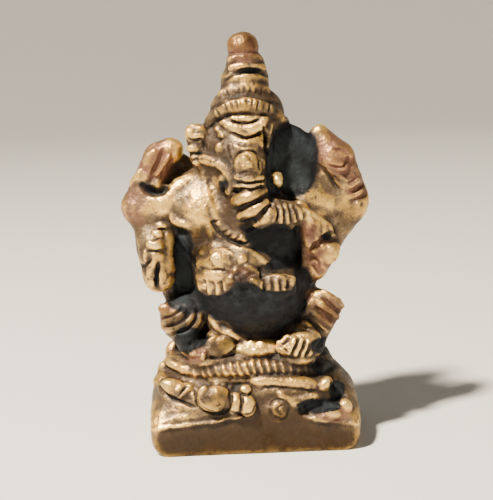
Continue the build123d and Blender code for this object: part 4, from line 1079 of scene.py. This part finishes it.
def cad_body():
    """The CAD casting in millimetres, merged, with its crown taken off."""
    body = bmesh.new()
    body.from_mesh(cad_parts[NODE].data)
    bmesh.ops.transform(body, matrix=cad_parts[NODE].matrix_world, verts=body.verts)
    bmesh.ops.scale(body, vec=(1 / MM, 1 / MM, 1 / MM), verts=body.verts)
    bmesh.ops.remove_doubles(body, verts=body.verts, dist=0.001)
    cut = bmesh.ops.bisect_plane(
        body,
        geom=body.verts[:] + body.edges[:] + body.faces[:],
        plane_co=(0, 0, CROWN_CUT),
        plane_no=(0, 0, 1),
        clear_outer=True,
    )
    rim = [part for part in cut["geom_cut"] if isinstance(part, bmesh.types.BMEdge)]
    bmesh.ops.holes_fill(body, edges=rim, sides=0)
    return body


def rested(clay, grain):
    """The clay fused, its outline moved and its own relief rubbed flat in places. Frees the given clay."""
    piece = evaluated(piece_from(clay, "rough_body"), "REMESH", mode="VOXEL", voxel_size=grain)
    mesh = piece.data
    points, normals = points_of(mesh), normals_of(mesh)
    places = chart_of(points)
    for across, up, reach, aside, upward in MOVED:
        gap = np.minimum(np.hypot(places[:, 0] - across, places[:, 1] - up) / reach, 1)
        points += bell(gap)[:, None] * np.array(ASIDE * aside + UPWARD * upward)
    cover = spread(places, RESTED) * (normals @ np.array(AHEAD) < 0)
    points += (blurred(mesh, points, RUB_ROUNDS) - points) * blurred(mesh, cover, RUB_EDGE_ROUNDS)[:, None]
    move_points(mesh, points)
    clay = bmesh.new()
    clay.from_mesh(mesh)
    bpy.data.objects.remove(piece)
    bpy.data.meshes.remove(mesh)
    return clay


def drop_bubbles(piece):
    """Removes the small closed shells that fusing the clay leaves apart from the casting."""
    body = bmesh.new()
    body.from_mesh(piece.data)
    left, shells = set(body.verts), []
    while left:
        shell, border = [], [left.pop()]
        while border:
            vert = border.pop()
            shell.append(vert)
            near = {edge.other_vert(vert) for edge in vert.link_edges} & left
            left -= near
            border.extend(near)
        shells.append(shell)
    shells.sort(key=len)
    bmesh.ops.delete(body, geom=[vert for shell in shells[:-1] for vert in shell], context="VERTS")
    body.to_mesh(piece.data)
    body.free()


def points_of(mesh):
    """The mesh's points as an array."""
    points = np.empty(len(mesh.vertices) * 3)
    mesh.vertices.foreach_get("co", points)
    return points.reshape(-1, 3)


def move_points(mesh, points):
    """Brings the mesh's points to new places."""
    mesh.vertices.foreach_set("co", points.ravel())
    mesh.update()


def normals_of(mesh):
    """The mesh's normals at its points as an array."""
    normals = np.empty(len(mesh.vertices) * 3)
    mesh.vertex_normals.foreach_get("vector", normals)
    return normals.reshape(-1, 3)


def blurred(mesh, values, rounds):
    """Values at the mesh's points, each brought half way to the mean of its neighbours, many times."""
    ends = np.empty(len(mesh.edges) * 2, dtype=np.int32)
    mesh.edges.foreach_get("vertices", ends)
    start, stop = ends.reshape(-1, 2).T
    count = len(values)
    links = np.maximum(np.bincount(start, minlength=count) + np.bincount(stop, minlength=count), 1)
    columns = values.reshape(count, -1).copy()
    for _ in range(rounds):
        for column in columns.T:
            near = np.bincount(start, column[stop], count) + np.bincount(stop, column[start], count)
            column += (near / links - column) / 2
    return columns.reshape(values.shape)


def bell(reach):
    """A soft rise that is whole at no reach and gone at a reach of 1."""
    return (1 - reach**2) ** 2


def waves(points, size):
    """Smooth uneven values, from about -1 to 1, whose lumps have a size in millimetres."""
    return np.array([noise.noise(Vector(point)) for point in points / size])


def swayed_chart(points, sway, size):
    """The chart of the points, with its places swayed as an unsteady hand would."""
    return chart_of(points) + sway * np.column_stack([waves(points, size), waves(points + APART, size)])


def seen(body, points, normals):
    """Marks the points that the eye sees."""
    rays = np.array(EYE) - points
    facing = (rays * normals).sum(axis=1) > 0
    marks = np.zeros(len(points), bool)
    for i in np.flatnonzero(facing):
        point = Vector(points[i] + normals[i] * ABOVE_SKIN)
        marks[i] = body.ray_cast(point, EYE - point)[0] is None
    return marks


def line_reach(places, line):
    """How far each place lies from a line of places, and how far its nearest spot is from the line's end."""
    nearest, travel, passed = np.full(len(places), np.inf), np.zeros(len(places)), 0.0
    for start, stop in zip(line, line[1:]):
        start, along = np.array(start), np.array(stop - start)
        length = math.hypot(*along)
        share = np.clip(((places - start) @ along) / max(length**2, 1e-9), 0, 1)
        gap = np.linalg.norm(places - start - share[:, None] * along, axis=1)
        travel = np.where(gap < nearest, passed + share * length, travel)
        nearest = np.minimum(nearest, gap)
        passed += length
    return nearest, np.minimum(travel, passed - travel)


def draw_line(shift, places, marked, half_width, height, line):
    """Adds a soft ridge or groove along the line, fading at its ends, to the shift of the points."""
    low = np.min([tuple(place) for place in line], axis=0) - half_width
    high = np.max([tuple(place) for place in line], axis=0) + half_width
    near = np.flatnonzero(marked & (places > low).all(axis=1) & (places < high).all(axis=1))
    gap, from_end = line_reach(places[near], line)
    fade = np.clip(LINE_END + from_end / (LINE_FADE * half_width), 0, 1)
    reach = np.minimum(gap / (half_width * (LINE_TAPER + (1 - LINE_TAPER) * fade)), 1)
    new, old = bell(reach) * height * fade, shift[near]
    shift[near] = np.where(new * old > 0, np.sign(new) * np.maximum(abs(new), abs(old)), old + new)


def carve(piece):
    """Draws the fine lines and notches in the front of the casting, a little unsteadily, as by hand."""
    mesh = piece.data
    points, normals = points_of(mesh), normals_of(mesh)
    tree = bmesh.new()
    tree.from_mesh(mesh)
    marked = seen(BVHTree.FromBMesh(tree), points, normals)
    tree.free()
    places = swayed_chart(points, *HAND_SWAY)
    shift = np.zeros(len(points))
    for half_width, height, line in LINES:
        draw_line(shift, places, marked, half_width, height, smooth_line(line, LINE_STEP))
    for cord, pitch, half_length, half_width, depth, lean in NOTCHES:
        line = smooth_line(cord, pitch)
        for before, place, after in zip(line, line[1:], line[2:]):
            side = (after - before).normalized() * half_length
            side.rotate(Matrix.Rotation(math.radians(90 + lean), 2))
            uneven = NOTCH_DEPTH + NOTCH_UNEVENNESS * noise.noise(Vector((*place, 0.5)) * 2)
            draw_line(shift, places, marked, half_width, -depth * uneven, [place - side, place + side])
    move_points(mesh, points + blurred(mesh, normals, CUT_ROUNDS) * shift[:, None])


def roughen(piece, unevenness):
    """Gives the skin the lumps and pits of a sand casting, and a flat underside."""
    mesh = piece.data
    points = points_of(mesh)
    size, level, depth, apart = SKIN_PITS
    pits = np.clip(waves(points + apart, size) - level, 0, 1) * depth
    swell = sum(share * waves(points + apart, size) for size, share, apart in SKIN_LUMPS) - pits
    points += normals_of(mesh) * (swell * unevenness)[:, None]
    points[points[:, 2] < UNDERSIDE, 2] = 0.0
    move_points(mesh, points)


def spread(places, patches):
    """How strongly soft oval patches cover each place of the picture's plane."""
    cover = np.zeros(len(places))
    for across, up, wide, tall, strength in patches:
        reach = np.hypot((places[:, 0] - across) / wide, (places[:, 1] - up) / tall)
        cover = np.maximum(cover, strength * np.clip((PATCH_RIM - reach) / PATCH_FADE, 0, 1))
    return cover


def note_wear(piece):
    """Stores what the finish follows at each point: relief, how far each kind of skin covers it, and where
    shade and highlights are painted.
    """
    mesh = piece.data
    points, normals = points_of(mesh), normals_of(mesh)
    fine, broad = (
        ((points - blurred(mesh, points, rounds)) * normals).sum(axis=1) for rounds in RELIEF_ROUNDS
    )
    broad = np.clip(broad, -BROAD_LIMIT, BROAD_LIMIT)
    relief = np.clip(LEVEL_SKIN + fine * FINE_SHARE + broad * BROAD_SHARE, 0, 1)
    places = swayed_chart(points, *PATCH_SWAY)
    front = np.clip(FRONT_RIM - normals @ np.array(AHEAD) * FRONT_FADE, 0, 1)
    # The tarnish and the dull brown also carry painted shade, and the wear carries painted highlights
    for name, values in (
        ("relief", relief),
        ("tarnish_and_shade", spread(places, TARNISH_AND_SHADE) * (1 - spread(places, SPARED)) * front),
        ("dull_and_shade", spread(places, DULL_AND_SHADE) * front),
        ("copper", spread(places, RUBBED)),
        ("wear_and_highlight", spread(places, WEAR_AND_HIGHLIGHTS) * front),
    ):
        attribute = mesh.attributes.new(name, "FLOAT", "POINT")
        attribute.data.foreach_set("value", blurred(mesh, values, SKIN_ROUNDS).astype(np.float32))


def add_node(tree, kind, inputs, **settings):
    """Adds a shader node with its settings. Each input is given a socket to link or a value to hold."""
    made = tree.nodes.new("ShaderNode" + kind)
    for name, value in settings.items():
        setattr(made, name, value)
    for name, given in inputs.items():
        if isinstance(given, bpy.types.NodeSocket):
            tree.links.new(given, made.inputs[name])
        else:
            made.inputs[name].default_value = given
    return made


def cast_bronze(settings):
    """Old sand-cast bronze: bare yellow metal where hands rub it, brown and near-black tarnish in hollows,
    with painted shade and painted highlights laid over them by place.

    The rubbed metal gives broad warm highlights, the tarnish is dull and dark, and the skin is finely pitted.
    """
    material = bpy.data.materials.new("old_cast_bronze")
    material.use_nodes = True
    tree = material.node_tree
    tree.nodes.clear()
    where = add_node(tree, "TexCoord", {}).outputs["Object"]
    relief, tarnish_and_shade, dull_and_shade, copper, wear_and_highlight = (
        add_node(tree, "Attribute", {}, attribute_name=name).outputs["Fac"]
        for name in ("relief", "tarnish_and_shade", "dull_and_shade", "copper", "wear_and_highlight")
    )
    cloud, fleck, sand = (
        add_node(
            tree, "TexNoise", {"Vector": where, "Scale": 1 / (size * MM), "Detail": detail, "Roughness": 0.6}
        ).outputs["Fac"]
        for size, detail in ((CLOUD_SIZE, 5.0), (FLECK_SIZE, 3.0), (SAND_SIZE, 2.0))
    )
    # Clouds and flecks lighten the skin as much as they darken it, and wear and the painted highlights
    # brighten it
    level = add_node(
        tree,
        "Math",
        {0: cloud, 1: CLOUD_SHARE, 2: -(CLOUD_SHARE + FLECK_SHARE) / 2},
        operation="MULTIPLY_ADD",
    ).outputs[0]
    uneven = add_node(tree, "Math", {0: fleck, 1: FLECK_SHARE, 2: level}, operation="MULTIPLY_ADD").outputs[0]
    height = add_node(tree, "Math", {0: relief, 1: uneven}, operation="ADD").outputs[0]
    polish_and_highlight = add_node(tree, "Math", {0: wear_and_highlight, 1: WEAR_AND_HIGHLIGHT_SHARE, 2: height}, operation="MULTIPLY_ADD").outputs[0]
    pocks = add_node(
        tree,
        "MapRange",
        {"Value": fleck, "From Min": 0.54, "From Max": 0.70, "To Max": POCK_SHARE},
        interpolation_type="SMOOTHSTEP",
    ).outputs["Result"]
    shine = add_node(tree, "Math", {0: polish_and_highlight, 1: pocks}, operation="SUBTRACT").outputs[0]
    ramp = add_node(tree, "ValToRGB", {"Fac": shine})
    stops = (
        (0.12, linear("#120c06")),
        (0.30, linear("#2b2015")),
        (0.46, linear("#4d3e2f")),
        (0.60, linear("#77654e")),
        (0.78, [*settings.bronze, 1.0]),
        (0.95, linear("#ffdb86")),
    )
    elements = ramp.color_ramp.elements
    elements[0].position, elements[0].color = stops[0]
    elements[1].position, elements[1].color = stops[-1]
    for position, colour in stops[1:-1]:
        elements.new(position).color = colour
    browned = add_node(
        tree, "Math", {0: dull_and_shade, 1: DULL_AND_SHADE_SHARE, 2: uneven}, operation="MULTIPLY_ADD", use_clamp=True
    ).outputs[0]
    reddened = add_node(tree, "Math", {0: copper, 1: COPPER_SHARE}, operation="MULTIPLY").outputs[0]
    edge = add_node(tree, "Math", {0: uneven, 1: RAGGED_SHARE, 2: tarnish_and_shade}, operation="MULTIPLY_ADD")
    cover = add_node(
        tree,
        "MapRange",
        {"Value": edge.outputs[0], "From Min": 0.2, "From Max": 0.7},
        interpolation_type="SMOOTHSTEP",
    ).outputs["Result"]
    layer = add_node(tree, "Math", {0: tarnish_and_shade, 1: 0.5, 2: cloud}, operation="MULTIPLY_ADD").outputs[0]
    rough, metal, gloss, bare, thick = (
        add_node(
            tree,
            "MapRange",
            {"Value": value, "From Min": low, "From Max": high, "To Min": start, "To Max": stop},
        ).outputs["Result"]
        for value, low, high, start, stop in (
            (shine, 0.3, 0.8, 0.66, 0.36),
            (shine, 0.2, 0.6, 0.30, 0.85),
            (cover, 0.0, 1.0, 0.50, 0.12),
            (cover, 0.0, 1.0, 1.00, 0.00),
            (layer, 0.96, 1.22, 0.00, 1.00),
        )
    )
    # The dark film, used also for the painted shade, turns slate grey where it is thicker
    film_and_shade = add_node(
        tree,
        "Mix",
        {"Factor": thick, 6: [*settings.tarnish_and_shade, 1.0], 7: linear(SLATE)},
        data_type="RGBA",
        blend_type="MIX",
    ).outputs[2]
    # Brown skin with its painted shade lies on the metal, copper shows over both, and the film of tarnish and
    # painted shade covers all of it
    colour = ramp.outputs["Color"]
    for share, over in ((browned, linear(BROWN)), (reddened, [*settings.copper, 1.0]), (cover, film_and_shade)):
        colour = add_node(
            tree, "Mix", {"Factor": share, 6: colour, 7: over}, data_type="RGBA", blend_type="MIX"
        ).outputs[2]
    metallic = add_node(tree, "Math", {0: metal, 1: bare}, operation="MULTIPLY").outputs[0]
    grit = add_node(tree, "Bump", {"Height": sand, "Strength": 0.35, "Distance": GRIT_DEPTH * MM})
    pits = add_node(
        tree,
        "Bump",
        {"Height": fleck, "Normal": grit.outputs["Normal"], "Strength": 0.7, "Distance": PIT_DEPTH * MM},
    )
    skin = add_node(
        tree,
        "BsdfPrincipled",
        {
            "Base Color": colour,
            "Roughness": rough,
            "Specular IOR Level": gloss,
            "Metallic": metallic,
            "Normal": pits.outputs["Normal"],
        },
    )
    add_node(tree, "OutputMaterial", {"Surface": skin.outputs[0]})
    return material


class AMULET_OT_cast_figure(bpy.types.Operator):
    """Sculpts the whole casting and gives it its finish"""

    bl_idname = "amulet.cast_figure"
    bl_label = "Cast figure"

    def execute(self, context):
        settings = context.scene.amulet_casting
        clay = rested(cad_body(), FIRST_GRAIN * settings.grain / MM)
        add_crown(clay)
        add_rope(clay)
        add_bosses(clay, MASSES)
        add_ribs(clay)
        add_bosses(clay, BEADS)
        piece = piece_from(clay, "dressed_figure")
        evaluated(piece, "REMESH", mode="VOXEL", voxel_size=settings.grain / MM)
        evaluated(piece, "SMOOTH", factor=0.5, iterations=settings.smoothing)
        carve(piece)
        roughen(piece, settings.unevenness / MM)
        share = settings.triangles / (2 * len(piece.data.polygons))
        evaluated(piece, "DECIMATE", ratio=min(1, share), use_collapse_triangulate=True)
        drop_bubbles(piece)
        note_wear(piece)
        piece.data.transform(Matrix.Scale(MM, 4))
        piece.data.shade_smooth()
        piece.data.materials.append(cast_bronze(settings))
        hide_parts(NODE)
        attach(piece, "root")
        return {"FINISHED"}


class AMULET_OT_stage(bpy.types.Operator):
    """Makes the floor, the lights and the camera"""

    bl_idname = "amulet.stage"
    bl_label = "Stage"

    def execute(self, context):
        settings = context.scene.amulet_stage
        paper = bmesh.new()
        bmesh.ops.create_circle(paper, cap_ends=True, radius=settings.floor_radius, segments=96)
        rim = [edge for edge in paper.edges if edge.is_boundary]
        risen = bmesh.ops.extrude_edge_only(paper, edges=rim)["geom"]
        top = [part for part in risen if isinstance(part, bmesh.types.BMVert)]
        bmesh.ops.translate(paper, verts=top, vec=(0, 0, settings.floor_radius * FLOOR_RISE))
        bmesh.ops.bevel(
            paper,
            geom=[edge for edge in rim if edge.is_valid],
            offset=settings.floor_radius * FLOOR_BEND,
            segments=12,
            profile=0.5,
            affect="EDGES",
            material=-1,
        )
        bmesh.ops.recalc_face_normals(paper, faces=paper.faces[:])
        floor = piece_from(paper, "floor")
        floor.data.shade_smooth()
        matt = bpy.data.materials.new("matt_paper")
        matt.use_nodes = True
        surface = matt.node_tree.nodes["Principled BSDF"]
        surface.inputs["Base Color"].default_value = linear("#dadad8")
        surface.inputs["Roughness"].default_value = 0.9
        floor.data.materials.append(matt)
        world = bpy.data.worlds.new("soft_surround")
        context.scene.world = world
        world.use_nodes = True
        world.node_tree.nodes["Background"].inputs["Color"].default_value = linear("#c8ccd2")
        world.node_tree.nodes["Background"].inputs["Strength"].default_value = SURROUND_STRENGTH
        for name, place, size, share in LIGHTS:
            lamp = bpy.data.lights.new(name, "AREA")
            lamp.energy = settings.key_power * share
            lamp.color = linear("#fff0d8")[:3]
            lamp.size = size
            light = bpy.data.objects.new(name, lamp)
            light.location = place
            light.rotation_euler = (AIM * MM - Vector(place)).to_track_quat("-Z", "Y").to_euler()
            context.scene.collection.objects.link(light)
        lens = bpy.data.cameras.new("camera")
        lens.sensor_width = 36.0
        lens.lens = settings.focal_length
        lens.clip_start = 0.001
        camera = bpy.data.objects.new("camera", lens)
        turned = AHEAD.to_track_quat("-Z", "Y").to_matrix().to_4x4()
        rolled = turned @ Matrix.Rotation(settings.camera_roll, 4, "Z")
        camera.matrix_world = Matrix.Translation(EYE * MM) @ rolled
        context.scene.collection.objects.link(camera)
        context.scene.camera = camera
        return {"FINISHED"}


class AMULET_PT_panel(bpy.types.Panel):
    """Lists the steps of the amulet"""

    bl_idname = "AMULET_PT_panel"
    bl_label = "Cast bronze amulet"
    bl_space_type = "VIEW_3D"
    bl_region_type = "UI"
    bl_category = "Amulet"

    def draw(self, context):
        for name in CastingSettings.__annotations__:
            self.layout.prop(context.scene.amulet_casting, name)
        for name in StageSettings.__annotations__:
            self.layout.prop(context.scene.amulet_stage, name)
        for step in (AMULET_OT_cast_figure, AMULET_OT_stage):
            self.layout.operator(step.bl_idname)


CLASSES = (
    CastingSettings,
    StageSettings,
    AMULET_OT_cast_figure,
    AMULET_OT_stage,
    AMULET_PT_panel,
)


def register():
    for made in CLASSES:
        bpy.utils.register_class(made)
    bpy.types.Scene.amulet_casting = PointerProperty(type=CastingSettings)
    bpy.types.Scene.amulet_stage = PointerProperty(type=StageSettings)


def unregister():
    del bpy.types.Scene.amulet_stage
    del bpy.types.Scene.amulet_casting
    for made in reversed(CLASSES):
        bpy.utils.unregister_class(made)


def main():
    register()
    bpy.ops.amulet.cast_figure()
    bpy.ops.amulet.stage()


if __name__ == "__main__":
    main()
